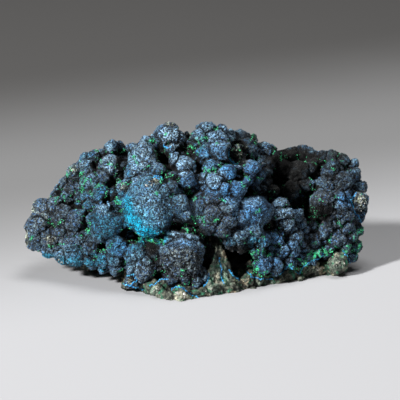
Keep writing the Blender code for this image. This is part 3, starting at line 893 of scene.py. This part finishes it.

# Where each colour of the grown face lies, painted shade and painted light among them, as across,
# rise, two radii and strength
TURQUOISE_PLACES = (
    (-19.8, 17.3, 2.8, 3.6, 1), (-15.7, 14.2, 4.5, 2.8, 1), (-11.4, 13.4, 3.2, 2.2, 0.8),
    (-21.7, 22, 1.7, 4.2, 0.85), (-17, 19.5, 4, 4, 0.3), (-44.3, 4.7, 4.2, 1.7, 0.6),
    (-38.3, 5, 5, 2, 0.55), (-33.3, 6, 3, 2, 0.4), (-50, 6.5, 3.2, 1.3, 0.6),
    (-30.5, 3, 1.2, 1, 0.8), (20, 12, 3, 1.5, 0.35),
)
TEAL_PLACES = (
    (-29.7, 17.7, 5.6, 6.2, 0.75), (-23.7, 25.7, 3, 3, 0.8), (-22.9, 21, 2.6, 5, 0.8),
    (-30, 27.7, 3.3, 3.2, 0.6), (-20.3, 37.3, 2.6, 5, 0.6), (-25.7, 12.3, 3.5, 4, 0.6),
    (-20, 7.3, 3.6, 4, 0.6), (-15, 24, 8.5, 9.5, 0.5), (-29, 7, 3.2, 3, 0.6),
    (-37, 24, 3, 4, 0.6), (-41, 8.5, 6, 2.4, 0.6), (13, 12.5, 4, 2.6, 0.5),
    (19.5, 11, 5, 2.4, 0.6), (3, 39, 4, 4.5, 0.35), (-10, 45.5, 2.5, 2.5, 0.5),
    (46, 36.5, 3, 2.2, 0.4), (1.5, 22, 1.6, 3, 0.5), (-36, 38.5, 3, 3.5, 0.3),
)
VIVID_PLACES = (
    (7.3, 31.3, 5, 4, 0.7), (11.7, 34.7, 3.5, 3.5, 0.9), (12.5, 28.7, 4.5, 3.6, 0.8),
    (19.6, 22.5, 5, 4.6, 0.6), (18.7, 34.3, 4.5, 4.5, 0.6), (30, 21, 4, 5, 0.45),
    (32, 8.3, 4, 4, 0.8), (26.7, 12.3, 4, 4, 0.5), (-5.7, 37.3, 4, 5, 0.5),
    (-2.3, 32.3, 4, 4, 0.5), (50, 26.5, 2.6, 3, 0.8), (-5, 12, 4.5, 2, 0.8),
    (5.7, 43, 6, 7, 0.35), (24.3, 5, 4, 3, 0.5), (15, 21, 2.4, 2.4, 0.4),
    (-30, 25.5, 3, 2.6, 0.3), (-24, 11, 3, 4.5, 0.4), (-9, 47.5, 3.6, 2.6, 0.4),
)
GRAPHITE_PLACES = (
    (-4.6, 4.8, 8.4, 5.4, 0.95), (5, 21, 6, 5.4, 0.55), (-48, 17.3, 9.5, 9, 0.6),
    (-33.5, 10, 3.2, 3, 0.5), (-15.3, 2.3, 4.2, 3.6, 0.7), (43, 24.7, 4.4, 5, 0.85),
    (46.3, 34, 5, 4.6, 0.6), (49, 30.5, 4, 3, 0.6), (48.3, 16.5, 7, 7, 0.6),
    (10.5, 16.3, 4.6, 3, 0.6), (-29.3, 34.7, 2.8, 2.2, 0.5), (29.7, 17.5, 3.5, 3, 0.5),
    (-42.5, 31.5, 4, 3.2, 0.5), (39, 12, 4, 4, 0.5), (-45, 21, 4, 3, 0.4),
)
# Painted light: a paler blue-grey laid over lamp-lit crowns and over lumps that shadow leaves too
# dark
PAINTED_LIGHT_PLACES = (
    (-28.3, 38.5, 3.4, 3.4, 0.7), (-7.8, 46, 4.6, 4, 0.9), (-5, 13.8, 5, 2.2, 0.6),
    (-17.7, 40.5, 4.6, 5.4, 0.55), (6, 47, 6, 4, 0.4), (6.3, 32.5, 4, 3, 0.65),
    (17.5, 26, 3.6, 3, 0.3), (-36, 37, 3, 3, 0.4), (-29.7, 22.6, 2.6, 2, 0.5),
    (15, 13, 4, 2, 0.4), (-19.5, 36, 1.8, 4, 0.6), (28.7, 25.6, 2.2, 2, 0.5),
    (-5, 37.5, 4, 4.6, 0.7), (-45, 9, 5, 3, 0.25), (-18.5, 5, 4, 4, 0.35),
    (30, 20.5, 3.6, 5, 0.75), (32, 9, 3.6, 4, 0.3), (-4, 5, 6, 4, 0.3),
    (-14, 25, 5.6, 6.6, 0.35),
)
ROCK_PLACES = (
    (14.4, 41.2, 3.7, 3.7, 1), (55.4, 25, 2.3, 3.5, 1), (-9, 44.3, 1.1, 0.9, 1),
    (-12.7, 32, 1.5, 1.1, 1), (-23.3, 30, 1.4, 1.4, 0.7), (-48.3, 12.7, 1.6, 1.6, 0.9),
    (-50.7, 20, 3.3, 3, 0.3), (-8.2, 51, 2.4, 1, 0.8), (-41, 36, 2, 1.4, 0.7),
    (-56.8, 12, 1, 5, 0.9), (-54.3, 23, 1.2, 3, 0.7), (9, 7, 3.6, 3.6, 0.6),
    (-4, 6.6, 5, 3.6, 0.25), (49.5, 41.6, 3.4, 1.2, 0.5), (-20.6, -0.8, 1.8, 1.8, 0.9),
)
STAIN_PLACES = (
    (19.7, 5, 1.3, 3, 1), (24, 7.9, 3.2, 0.9, 0.9), (22.3, 1.6, 3.4, 0.9, 0.8),
    (35, 3, 4.4, 1.4, 0.8), (41, 7.6, 4.4, 1.3, 0.9), (50, 8.8, 3.2, 1.4, 0.7),
    (55, 12.3, 1.6, 4.2, 0.7), (-15.7, 12.2, 5.4, 1, 0.7), (0, 19, 3.2, 0.9, 0.5),
    (5.7, 19.2, 3, 0.9, 0.5), (1.3, 44.6, 2, 2.4, 0.5), (19.4, 46.7, 1.3, 1.4, 0.9),
    (-44.3, 26, 2.4, 1, 0.6), (-37.3, 33, 1, 3, 0.6), (-24, 41.8, 2, 0.9, 0.9),
    (48.7, 41.6, 3.4, 1, 0.5), (-35.5, 16.7, 0.9, 2, 0.6), (-25.5, 25, 1.2, 2, 0.7),
    (-14, 45.3, 1.2, 1.2, 0.7), (-32, 30.5, 2, 1, 0.5), (14, 42.5, 3.4, 3.4, 0.3),
)
# Painted shade: near-black patches where the valley, the back ridge and the recesses lie in deep
# shadow, and a thin veil of it that darkens some lumps
PAINTED_SHADE_PLACES = (
    (30.5, 32.3, 8, 6.4, 1), (41, 21, 5.5, 3.6, 1), (14.5, 7, 4.2, 5, 1),
    (2, 15.5, 4, 1.6, 0.9), (8, 12.5, 3, 1.6, 0.9), (-14.3, 9.7, 2.4, 2.4, 1),
    (24, 31, 3, 2.4, 0.7), (34, 39.5, 11, 4.4, 1), (19, 47.5, 5, 3, 0.8),
    (25.5, 38, 3, 3.4, 0.8), (46, 41, 6, 3, 0.85), (48, 33, 6, 5, 0.3),
    (-1.5, 42, 1.6, 3, 0.8), (-7, 32.5, 1.4, 4, 0.7), (14.6, 40.6, 2.2, 2.4, 0.75),
    (-40, 5, 9, 2.6, 0.3), (-29.7, 16.5, 6, 6, 0.28), (-45, 17, 6, 4, 0.2),
    (18, 45.5, 4, 4, 0.5), (50, 37, 4, 4, 0.5),
)
PALE_ROCK_PLACES = (
    (8, 1, 3.6, 4.6, 0.9), (-4, -6, 3.6, 1.6, 1), (5.5, -4.6, 2.4, 1.8, 0.9),
    (-13.5, -4, 1.6, 1.2, 0.9), (-21.5, -2.6, 1.6, 0.7, 0.8), (41, 3.4, 1.8, 1.6, 0.9),
    (47.5, 4.2, 2.6, 2.8, 0.5), (24, -2, 4, 1, 0.4),
)
COLOUR_MASKS = {
    "painted_shade": PAINTED_SHADE_PLACES,
    "turquoise": TURQUOISE_PLACES, "teal": TEAL_PLACES, "vivid": VIVID_PLACES,
    "graphite": GRAPHITE_PLACES, "pale_and_painted_light": PAINTED_LIGHT_PLACES, "bared_rock": ROCK_PLACES,
    "stain": STAIN_PLACES,
}

# They lie on the side towards the viewer, and not on the back as well
crust_front, rock_front = (
    smooth_step(-(normals @ sight), -0.4, 0.1) for normals in (crust_normals, rock_normals)
)
for mask_name, places in COLOUR_MASKS.items():
    set_mask(crust.data, mask_name, patch_mask(crust_points, places) * crust_front)
set_mask(crust.data, "openness", crust_open)
set_mask(rock.data, "openness", rock_open)
# The rock takes the same painted shade, near-black over its shaded hollows
set_mask(rock.data, "painted_shade", patch_mask(rock_points, PAINTED_SHADE_PLACES) * rock_front)
# On the rock this mask holds only the rock's own pale patches, and no painted light
set_mask(rock.data, "pale_and_painted_light", patch_mask(rock_points, PALE_ROCK_PLACES) * rock_front)


def per_metre(size_mm):
    """The scale that makes a texture's cells this many millimetres wide."""
    return 1.0 / (size_mm * MM)


# One grain of the druse as the picture shows it; much of the real druse is finer
GRAIN_SIZE = 0.36


def cornetite(name, roughness, gloss, grain_depth):
    """Cornetite druse: velvety deep blue to teal, its fine glassy grains glinting one by one."""
    made, tree, surface = new_material(name)
    place = add_node(tree, "ShaderNodeTexCoord").outputs["Object"]
    drift, mottle = (
        add_node(tree, "ShaderNodeTexNoise", {
            "Vector": place, "Scale": per_metre(size), "Detail": detail,
        })
        for size, detail in ((6, 3.0), (1.1, 5.0))
    )
    grain = add_node(
        tree, "ShaderNodeTexVoronoi", {"Vector": place, "Scale": per_metre(GRAIN_SIZE)}
    )
    tint = add_node(tree, "ShaderNodeSeparateColor", {"Color": grain.outputs["Color"]})
    eased = {}
    for mask_name in (*COLOUR_MASKS, "relief", "openness"):
        mask = add_node(tree, "ShaderNodeAttribute", attribute_name=mask_name)
        eased[mask_name] = mask.outputs["Fac"]
    for key, value, *ends in (
        ("drift", drift.outputs["Fac"], 0.38, 0.62, 0.0, 1.0),
        ("rock_tone", mottle.outputs["Fac"], 0.4, 0.62, 0.0, 1.0),
        ("speckle", mottle.outputs["Fac"], 0.5, 0.58, 0.0, 1.0),
        ("plain", eased["turquoise"], 0.0, 0.8, 1.0, 0.4),
        ("dark_grain", tint.outputs["Green"], 0.74, 0.8, 0.0, 0.85),
        ("blue_grain", tint.outputs["Blue"], 0.74, 0.8, 0.0, 0.45),
        ("mottle_tone", mottle.outputs["Fac"], 0.32, 0.68, 0.6, 1.3),
        ("grain_tone", tint.outputs["Red"], 0.05, 0.95, 0.14, 1.95),
        # low relief darkens the colour in the grooves as painted shade
        ("painted_groove_shade_and_tone", eased["relief"], 0.15, 0.82, 0.0, 1.2),
        # the openness mask darkens the colour in the clefts as painted shade
        ("painted_cleft_shade", eased["openness"], 0.36, 0.93, 0.0, 1.15),
    ):
        eased[key] = add_node(
            tree, "ShaderNodeMapRange", dict(enumerate((value, *ends))),
            interpolation_type="SMOOTHSTEP",
        ).outputs[0]
    for first, second in (
        ("stain", "speckle"), ("dark_grain", "plain"), ("blue_grain", "plain"),
    ):
        eased[first] = add_node(
            tree, "ShaderNodeMath", {0: eased[first], 1: eased[second]}, operation="MULTIPLY"
        ).outputs[0]
    bared = add_node(
        tree, "ShaderNodeMix",
        {0: eased["rock_tone"], 6: linear("#3c4136"), 7: linear("#8d9280")}, data_type="RGBA",
    )
    colour = linear("#2c414d")
    for key, over in (
        ("drift", linear("#4f6a7a")), ("teal", linear("#1f6177")), ("vivid", linear("#3a6c95")),
        # the pale blue-grey here is painted light
        ("graphite", linear("#444c4f")), ("pale_and_painted_light", linear("#738d9c")),
        ("turquoise", linear("#027f9c")), ("bared_rock", bared.outputs[2]),
        ("stain", linear("#1c8f55")), ("dark_grain", linear("#221d24")),
        # the near-black here is painted shade
        ("blue_grain", linear("#27568a")), ("painted_shade", linear("#020303")),
    ):
        colour = add_node(
            tree, "ShaderNodeMix", {0: eased[key], 6: colour, 7: over}, data_type="RGBA"
        ).outputs[2]
    for key in ("mottle_tone", "grain_tone", "painted_groove_shade_and_tone", "painted_cleft_shade"):
        colour = add_node(
            tree, "ShaderNodeMix", {0: 1.0, 6: colour, 7: eased[key]}, data_type="RGBA",
            blend_type="MULTIPLY",
        ).outputs[2]
    bump = add_node(
        tree, "ShaderNodeBump",
        {"Height": grain.outputs["Distance"], "Strength": 0.9, "Distance": grain_depth * MM},
        invert=True,
    )
    shader = add_node(
        tree, "ShaderNodeBsdfPrincipled",
        {"Base Color": colour, "Roughness": roughness, "IOR": 1.75, "Specular IOR Level": gloss,
         "Sheen Weight": 0.03, "Sheen Roughness": 0.5, "Normal": bump.outputs["Normal"]},
    )
    tree.links.new(shader.outputs[0], surface)
    return made


crust.data.materials.clear()
crust.data.materials.append(cornetite("cornetite_druse", 0.6, 0.1, 0.3))
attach(crust, "root")
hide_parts("cornetite_crust")


def country_rock(name):
    """Copper-bearing rock: rough, dull olive brown, with tan, green-stained and quartz patches."""
    made, tree, surface = new_material(name)
    place = add_node(tree, "ShaderNodeTexCoord").outputs["Object"]
    blotch, mottle, seep = (
        add_node(tree, "ShaderNodeTexNoise", {
            "Vector": place, "Scale": per_metre(size), "Detail": detail,
        })
        for size, detail in ((5, 4.0), (1.3, 5.0), (2.4, 4.0))
    )
    crumb = add_node(tree, "ShaderNodeTexVoronoi", {"Vector": place, "Scale": per_metre(0.55)})
    eased = {}
    for mask_name in ("pale_and_painted_light", "painted_shade", "relief", "openness"):
        mask = add_node(tree, "ShaderNodeAttribute", attribute_name=mask_name)
        eased[mask_name] = mask.outputs["Fac"]
    for key, value, *ends in (
        ("mottle", mottle.outputs["Fac"], 0.38, 0.62, 0.0, 1.0),
        ("tan", blotch.outputs["Fac"], 0.56, 0.64, 0.0, 1.0),
        ("pale_tone", blotch.outputs["Fac"], 0.45, 0.6, 0.0, 1.0),
        ("seep", seep.outputs["Fac"], 0.54, 0.62, 0.0, 0.85),
        ("crumb_tone", crumb.outputs["Color"], 0.1, 0.9, 0.22, 1.45),
        # low relief darkens the colour in the grooves as painted shade
        ("painted_groove_shade_and_tone", eased["relief"], 0.1, 0.65, 0.15, 1.1),
        # the openness mask darkens the colour in the clefts as painted shade
        ("painted_cleft_shade", eased["openness"], 0.15, 0.7, 0.02, 1.0),
    ):
        eased[key] = add_node(
            tree, "ShaderNodeMapRange", dict(enumerate((value, *ends))),
            interpolation_type="SMOOTHSTEP",
        ).outputs[0]
    pale_and_painted_light = add_node(
        tree, "ShaderNodeMix",
        {0: eased["pale_tone"], 6: linear("#6f8474"), 7: linear("#c3c1aa")}, data_type="RGBA",
    )
    colour = linear("#2c302a")
    for key, over in (
        ("mottle", linear("#686d5e")), ("tan", linear("#a99a80")), ("pale_and_painted_light", pale_and_painted_light.outputs[2]),
        # the near-black here is painted shade
        ("seep", linear("#256a4e")), ("painted_shade", linear("#060807")),
    ):
        colour = add_node(
            tree, "ShaderNodeMix", {0: eased[key], 6: colour, 7: over}, data_type="RGBA"
        ).outputs[2]
    for key in ("crumb_tone", "painted_groove_shade_and_tone", "painted_cleft_shade"):
        colour = add_node(
            tree, "ShaderNodeMix", {0: 1.0, 6: colour, 7: eased[key]}, data_type="RGBA",
            blend_type="MULTIPLY",
        ).outputs[2]
    bump = add_node(
        tree, "ShaderNodeBump",
        {"Height": mottle.outputs["Fac"], "Strength": 1.0, "Distance": 0.5 * MM},
    )
    shader = add_node(
        tree, "ShaderNodeBsdfPrincipled",
        {"Base Color": colour, "Roughness": 0.8, "Normal": bump.outputs["Normal"]},
    )
    tree.links.new(shader.outputs[0], surface)
    return made


rock.data.materials.clear()
rock.data.materials.append(country_rock("copper_country_rock"))
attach(rock, "root")
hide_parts("matrix")


# The druse. Fine glassy crystals of cornetite stand on the whole grown skin, each a stubby double
# pyramid that grew out at a slant. They are drawn about 0.3 mm across so that they show.
DRUSE_PIECES = 3
DRUSE_GRAINS = 24000
DRUSE_SIZE = 0.3
DRUSE_SIZE_RANGE = (0.55, 1.25)
DRUSE_LEAN = 0.45
PLACE_SEED, SIZE_SEED, TURN_SEED = 40, 60, 80


def random_on(mesh, weights, count, seed):
    """Random places on a mesh in millimetres, by weight: places, their normals and corners."""
    draw = np.random.default_rng(seed)
    faces = np.empty(len(mesh.polygons) * 3, np.int64)
    mesh.polygons.foreach_get("vertices", faces)
    faces = faces.reshape(-1, 3)
    points, normals = corners_of(mesh)
    corners = points[faces]
    crossed = np.cross(corners[:, 1] - corners[:, 0], corners[:, 2] - corners[:, 0])
    area = np.linalg.norm(crossed, axis=1)
    chance = area * weights[faces].mean(axis=1)
    chosen = draw.choice(len(faces), count, p=chance / chance.sum())
    share = draw.dirichlet((1.0, 1.0, 1.0), count)
    places = (corners[chosen] * share[:, :, None]).sum(axis=1)
    return places, crossed[chosen] / area[chosen][:, None], faces[chosen][:, 0]


def crystals(name, places, normals, widths, heights, lean, seed):
    """One mesh of double pyramids, each standing on its place along its normal, at a lean."""
    draw = np.random.default_rng(seed)
    count = len(places)
    axis = normals + draw.normal(0.0, lean, (count, 3))
    axis /= np.linalg.norm(axis, axis=1)[:, None]
    side = np.cross(axis, draw.normal(0.0, 1.0, (count, 3)))
    side /= np.linalg.norm(side, axis=1)[:, None]
    other = np.cross(axis, side)
    narrow = draw.uniform(0.6, 1.0, (count, 1))
    half = widths[:, None] / 2
    tall = heights[:, None]
    corners = np.stack((
        places + side * half, places + other * half * narrow, places - side * half,
        places - other * half * narrow, places + axis * tall * 0.75, places - axis * tall * 0.25,
    ), axis=1)
    pattern = np.array([
        (0, 1, 4), (1, 2, 4), (2, 3, 4), (3, 0, 4), (1, 0, 5), (2, 1, 5), (3, 2, 5), (0, 3, 5),
    ])
    faces = (pattern[None] + 6 * np.arange(count)[:, None, None]).reshape(-1, 3)
    mesh = bpy.data.meshes.new(name)
    mesh.from_pydata((corners.reshape(-1, 3) * MM).tolist(), [], faces.tolist())
    made = bpy.data.objects.new(name, mesh)
    bpy.context.scene.collection.objects.link(made)
    return made


def mask_values(mesh, name):
    """A stored mask as an array."""
    values = np.empty(len(mesh.vertices), np.float32)
    mesh.attributes[name].data.foreach_get("value", values)
    return values


bared = sunk_in_rock(crust_points) == 0.0
grown_out = smooth_step(crust_open, 0.22, 0.6) * bared
facing_front = crust_normals @ sight < 0.2
crust_relief = mask_values(crust.data, "relief")
weights = grown_out * (0.25 + 0.75 * facing_front) * (0.3 + 0.7 * crust_relief)
druse_material = cornetite("cornetite_crystals", 0.34, 0.3, 0.1)
for number in range(DRUSE_PIECES):
    places, facings, below = random_on(crust.data, weights, DRUSE_GRAINS, PLACE_SEED + number)
    draw = np.random.default_rng(SIZE_SEED + number)
    size = draw.uniform(*DRUSE_SIZE_RANGE, DRUSE_GRAINS)
    size *= 1.0 - 0.4 * smooth_step(patch_mask(places, SMOOTH_PLACES), 0.2, 0.8)
    druse = crystals(
        f"cornetite_druse_{number + 1}", places, facings, size * DRUSE_SIZE, size * DRUSE_SIZE,
        DRUSE_LEAN, TURN_SEED + number,
    )
    # Each crystal takes the masks of the skin under it, with their painted shade and painted light
    for mask_name in (*COLOUR_MASKS, "openness"):
        set_mask(druse.data, mask_name, np.repeat(mask_values(crust.data, mask_name)[below], 6))
    # A crystal's relief is drawn at random, so on the druse it gives a random tone and no painted
    # shade
    set_mask(druse.data, "relief", np.repeat(0.45 + 0.55 * draw.random(DRUSE_GRAINS), 6))
    druse.data.materials.append(druse_material)
    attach(druse, "root")


# The malachite. Small bright green tufts of copper carbonate settled in the clefts between the
# lumps and along the foot of the crust. Each speck is a knot of a few stubby crystals.
MALACHITE_LEFT = (
    (-32.7, 42.3), (-31.3, 38.7), (-24, 42), (-28.3, 37.7), (-38, 34.3), (-37.3, 30.3),
    (-43.7, 26), (-46.3, 25), (-41.3, 36), (-42.7, 34.3), (-34.7, 32), (-29.7, 27.7),
    (-34.3, 27.7), (-32, 30.3), (-26.3, 25.7), (-25.3, 24.7), (-35.7, 15.7), (-35.3, 17.7),
    (-48, 17.7), (-45, 18.3), (-54.7, 12.7), (-48, 10.3), (-45.3, 11), (-30.3, 9.3),
    (-28.3, 10.3), (-25, 32), (-23.7, 31), (-14, 45.3), (-20.3, 40.3), (-19.7, 38.7),
    (-15.3, 37), (-9.7, 47.7), (-1.3, 47.7), (-13, 28), (-11.3, 32), (-8, 27),
    (-16, 12.7), (-14, 12), (-18.7, 13.3), (-2.7, 15.3), (-8.3, 33.7), (-3.7, 2.3),
    (-4.7, -3.3), (-19.3, -4.3), (-12, 11.5), (-10, 11), (-36.5, 32), (-37.5, 28.5),
)
MALACHITE_RIGHT = (
    (7, 49.3), (3.7, 46.3), (1.3, 44.7), (7.3, 44.3), (-0.7, 43.3), (3.7, 36), (6.3, 36),
    (4.7, 34.7), (8.7, 37), (19.3, 47), (20.3, 44.7), (26.3, 42.3), (17.3, 33.3),
    (16, 30.3), (21.3, 33), (21.3, 22), (-0.3, 26), (1.3, 20), (-0.3, 18.7),
    (3, 18.7), (7, 19), (9.3, 25.7), (10.3, 13.7), (18.7, 14.7), (19.7, 6), (19.3, 4.3),
    (20.3, 2.3), (24, 7), (34, 2.7), (35.3, 2.3), (31.7, 3.7), (38.7, 5.7), (40.7, 7.7),
    (41.7, 8.7), (37.3, 6), (44.7, 8.7), (49.7, 8.7), (50.7, 7), (54, 7.7), (55, 15.3),
    (56, 16), (41.3, 26), (48.7, 42), (50.7, 41.3), (46, 36), (28.7, 40.3),
    (48, 17.7), (45, 12.7), (39.7, 11.3), (18.6, 8), (19, 1), (21.5, 0.8),
    (23.5, 0.6), (42.8, 10.2), (36, 4.2), (52.5, 9), (54.8, 10.5),
    (18.6, 3), (18.8, 6.6), (19.4, 8.2), (21, 8.8), (23, 8.4), (20.5, 1.4), (33, 2.4),
    (37, 4.8), (39.8, 6.6), (43.5, 8.4), (46, 8), (47.5, 10), (51.5, 10.5), (53.5, 6),
    (55.5, 13), (35, 5.6), (38.5, 8), (26, 10.6), (16.5, 11.8), (22.8, 13.2),
)
MALACHITE_WIDTH = 0.38
MALACHITE_SEED = 21

# The specks of a tuft lie in a short streak: how many there are, and how long and wide it is
TUFT_SPECKS = (7, 16)
STREAK_LENGTH = 0.62
STREAK_WIDTH = 0.28

# Smaller knots lie in clefts that are about this open, give or take
CLEFT_KNOTS = 900
CLEFT_OPEN = 0.45
CLEFT_MARGIN = 0.16
KNOT_SPECKS = (2, 6)
KNOT_SPREAD = 0.45
KNOT_SEED = 5


def seen_at(across, rise):
    """Where the line of sight at this place of the view first meets crust or rock."""
    middle = Vector(SIGHT_CENTRE)
    up = Vector((0.0, math.sin(SIGHT_TILT), math.cos(SIGHT_TILT)))
    eye = middle - line_of_sight * SIGHT_DISTANCE
    target = middle + Vector((across - middle.x, 0, 0)) + up * (rise - middle.dot(up))
    way = (target - eye).normalized()
    met = [tree.ray_cast(eye, way) for tree in (crust_tree, rock_tree)]
    met = [hit for hit in met if hit[0] is not None]
    if not met:
        return None
    nearest = min(met, key=lambda hit: hit[3])
    return nearest[0], nearest[1]


def stand_crystals(name, found, sizes, slimness, lean, seed, material):
    """Crystals of these sizes on places found on the surface, riding with the specimen."""
    places = np.array([tuple(place) for place, facing in found])
    facings = np.array([tuple(facing) for place, facing in found])
    sizes = np.asarray(sizes)
    made = crystals(name, places, facings, sizes, sizes * slimness, lean, seed)
    made.data.materials.append(material)
    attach(made, "root")


def mineral(name, dark, light, cell_mm, roughness, **extra):
    """A fine-grained mineral whose grains run from a dark to a light tone of one colour."""
    made, tree, surface = new_material(name)
    place = add_node(tree, "ShaderNodeTexCoord").outputs["Object"]
    grain = add_node(tree, "ShaderNodeTexVoronoi", {"Vector": place, "Scale": per_metre(cell_mm)})
    cloud = add_node(
        tree, "ShaderNodeTexNoise", {"Vector": place, "Scale": per_metre(cell_mm * 4)}
    )
    tint = add_node(tree, "ShaderNodeSeparateColor", {"Color": grain.outputs["Color"]})
    lightness, shade = (
        add_node(tree, "ShaderNodeMapRange", dict(enumerate(ends))).outputs[0]
        for ends in (
            (tint.outputs["Red"], 0.1, 0.9, 0.0, 1.0), (cloud.outputs["Fac"], 0.35, 0.65, 0.6, 1.2),
        )
    )
    toned = add_node(
        tree, "ShaderNodeMix", {0: lightness, 6: linear(dark), 7: linear(light)}, data_type="RGBA"
    )
    shaded = add_node(
        tree, "ShaderNodeMix", {0: 1.0, 6: toned.outputs[2], 7: shade}, data_type="RGBA",
        blend_type="MULTIPLY",
    )
    bump = add_node(
        tree, "ShaderNodeBump",
        {"Height": grain.outputs["Distance"], "Strength": 0.6, "Distance": 0.1 * MM},
    )
    inputs = {"Base Color": shaded.outputs[2], "Roughness": roughness, "Normal": bump.outputs[0]}
    shader = add_node(tree, "ShaderNodeBsdfPrincipled", {**inputs, **extra})
    tree.links.new(shader.outputs[0], surface)
    return made


malachite_rng = random.Random(MALACHITE_SEED)
malachite_found = []
malachite_sizes = []
for across, rise in MALACHITE_LEFT + MALACHITE_RIGHT:
    run = malachite_rng.uniform(0, math.pi)
    for speck in range(malachite_rng.randint(*TUFT_SPECKS)):
        along = malachite_rng.gauss(0, STREAK_LENGTH)
        aside = malachite_rng.gauss(0, STREAK_WIDTH)
        hit = seen_at(
            across + along * math.cos(run) - aside * math.sin(run),
            rise + along * math.sin(run) + aside * math.cos(run),
        )
        if hit is not None:
            malachite_found.append(hit)
            malachite_sizes.append(MALACHITE_WIDTH * malachite_rng.uniform(0.6, 1.5))

in_cleft = np.clip(1.0 - np.abs(crust_open - CLEFT_OPEN) / CLEFT_MARGIN, 0.0, 1.0) * bared
for knot in random_on(crust.data, in_cleft, CLEFT_KNOTS, KNOT_SEED)[0]:
    for speck in range(malachite_rng.randint(*KNOT_SPECKS)):
        stray = Vector([malachite_rng.gauss(0, KNOT_SPREAD) for axis in range(3)])
        malachite_found.append(crust_tree.find_nearest(Vector(knot) + stray)[:2])
        malachite_sizes.append(MALACHITE_WIDTH * malachite_rng.uniform(0.5, 1.2))

# Malachite grew as fine needles, so its green is bright and silky, with dark tips between
malachite = mineral("malachite_tufts", "#12905a", "#5ff0a6", 0.5, 0.45)
stand_crystals(
    "malachite_specks", malachite_found, malachite_sizes, 1.1, 0.5, 9, malachite,
)


# The azure seams. Where the crust meets bare rock it ends in thin bright blue seams, the broken
# edges of its first grown layer, which run round the rock nodules as crooked lines.
AZURE_ROUTES = (
    ((-22.7, 0.3), (-20.7, 1), (-19.3, -1), (-22, -3)),
    ((-23.7, -2.3), (-20.3, -3.3), (-17, -4.3)),
    ((-15.3, -3), (-13, -2.3), (-11.3, -0.7), (-8.7, -0.7)),
    ((-8, -4.3), (-6, -3), (-3.7, -4), (-1.7, -5.7), (1.7, -7)),
    ((4.7, 1.3), (4.3, -1.3), (3, -3.3)),
    ((8, 6), (8.7, 2.7), (8.7, 0), (9.7, -2.3)),
    ((11.3, 2.3), (13, 0), (15, -1)),
    ((17.3, 2), (18.7, 0.3), (22, -0.7), (26, -0.7)),
    ((28.3, 0.7), (29.7, 2.3), (31.3, 3.7), (32.7, 2.7), (34.7, 1), (36, 3.3), (38.7, 5.3),
     (41.7, 6.3), (43, 7.7)),
    ((53.7, 28), (52, 25.7), (53, 22.3), (54.7, 20), (55.7, 17.7)),
    ((49.3, 8.7), (51.3, 6), (52, 3.7)),
    ((-53.7, 7.7), (-50.7, 6), (-48.7, 4.3)),
    ((-13, 33), (-11.7, 32.7)),
)

# Part rings round the bared places: across, rise, radius, and the turn that each starts and ends at
AZURE_ARCS = (
    (-9, 44.5, 1.5, 190, 330), (-12.6, 32, 1.7, 20, 150), (14.6, 41, 3.5, 150, 280),
)
AZURE_WIDTH = 0.55
AZURE_STEP = 0.2
AZURE_STRAY = 0.45
AZURE_SEED = 33

azure_rng = random.Random(AZURE_SEED)
routes = [list(route) for route in AZURE_ROUTES]
for across, rise, radius, first_turn, last_turn in AZURE_ARCS:
    turns = [math.radians(turn) for turn in range(first_turn, last_turn, 20)]
    routes.append([(across + radius * math.cos(t), rise + radius * math.sin(t)) for t in turns])
azure_found = []
azure_sizes = []
for route in routes:
    for (across, rise), (next_across, next_rise) in zip(route, route[1:]):
        steps = max(1, round(math.hypot(next_across - across, next_rise - rise) / AZURE_STEP))
        for step in range(steps):
            share = step / steps
            stray = noise.noise_vector(Vector((across + share, rise, share * 6.0))) * AZURE_STRAY
            hit = seen_at(
                across + (next_across - across) * share + stray.x,
                rise + (next_rise - rise) * share + stray.y,
            )
            if hit is not None and azure_rng.random() < 0.9:
                azure_found.append(hit)
                azure_sizes.append(AZURE_WIDTH * azure_rng.uniform(0.7, 1.35))

# The seams are dense cornetite, thin enough for light to come through, so they look bright blue
azure = mineral("azure_cornetite_seams", "#2b8ad4", "#58cdfa", 0.6, 0.4)
stand_crystals("azure_seams", azure_found, azure_sizes, 0.8, 0.3, 12, azure)


# The quartz. A few clear to milky crystals stand on the crust and on the broken nodules, and
# catch the light as white points. The rows are across, rise, width and how many stand there.
QUARTZ_PLACES = (
    (-12.7, 32, 0.9, 5), (-14, 31.3, 0.8, 4), (-15.7, 30.3, 0.8, 4), (-44.7, 6, 1, 5),
    (-44.3, 9.3, 0.8, 3), (-13.3, -4.3, 1.2, 9), (48, 4, 1, 8), (55.3, 25, 0.9, 7),
    (54.7, 21.7, 0.9, 6), (14.3, 41.3, 0.7, 5), (-4, -6, 1.3, 8), (5, -5, 1.1, 8),
    (41, 3, 1.1, 6), (-48.3, 12.7, 0.7, 5), (-9, 44.3, 0.6, 4),
)
QUARTZ_SEED = 44

quartz_rng = random.Random(QUARTZ_SEED)
quartz_found = []
quartz_sizes = []
for across, rise, width, count in QUARTZ_PLACES:
    for grain in range(count):
        hit = seen_at(across + quartz_rng.gauss(0, 0.8), rise + quartz_rng.gauss(0, 0.7))
        if hit is not None:
            quartz_found.append(hit)
            quartz_sizes.append(width * quartz_rng.uniform(0.4, 1.0))

# Quartz is glassy and hard, so its faces stay bright and sharp
quartz = mineral("quartz_points", "#7f7e76", "#c6c6bd", 0.8, 0.15, IOR=1.54)
stand_crystals("quartz_points", quartz_found, quartz_sizes, 1.3, 0.5, 17, quartz)
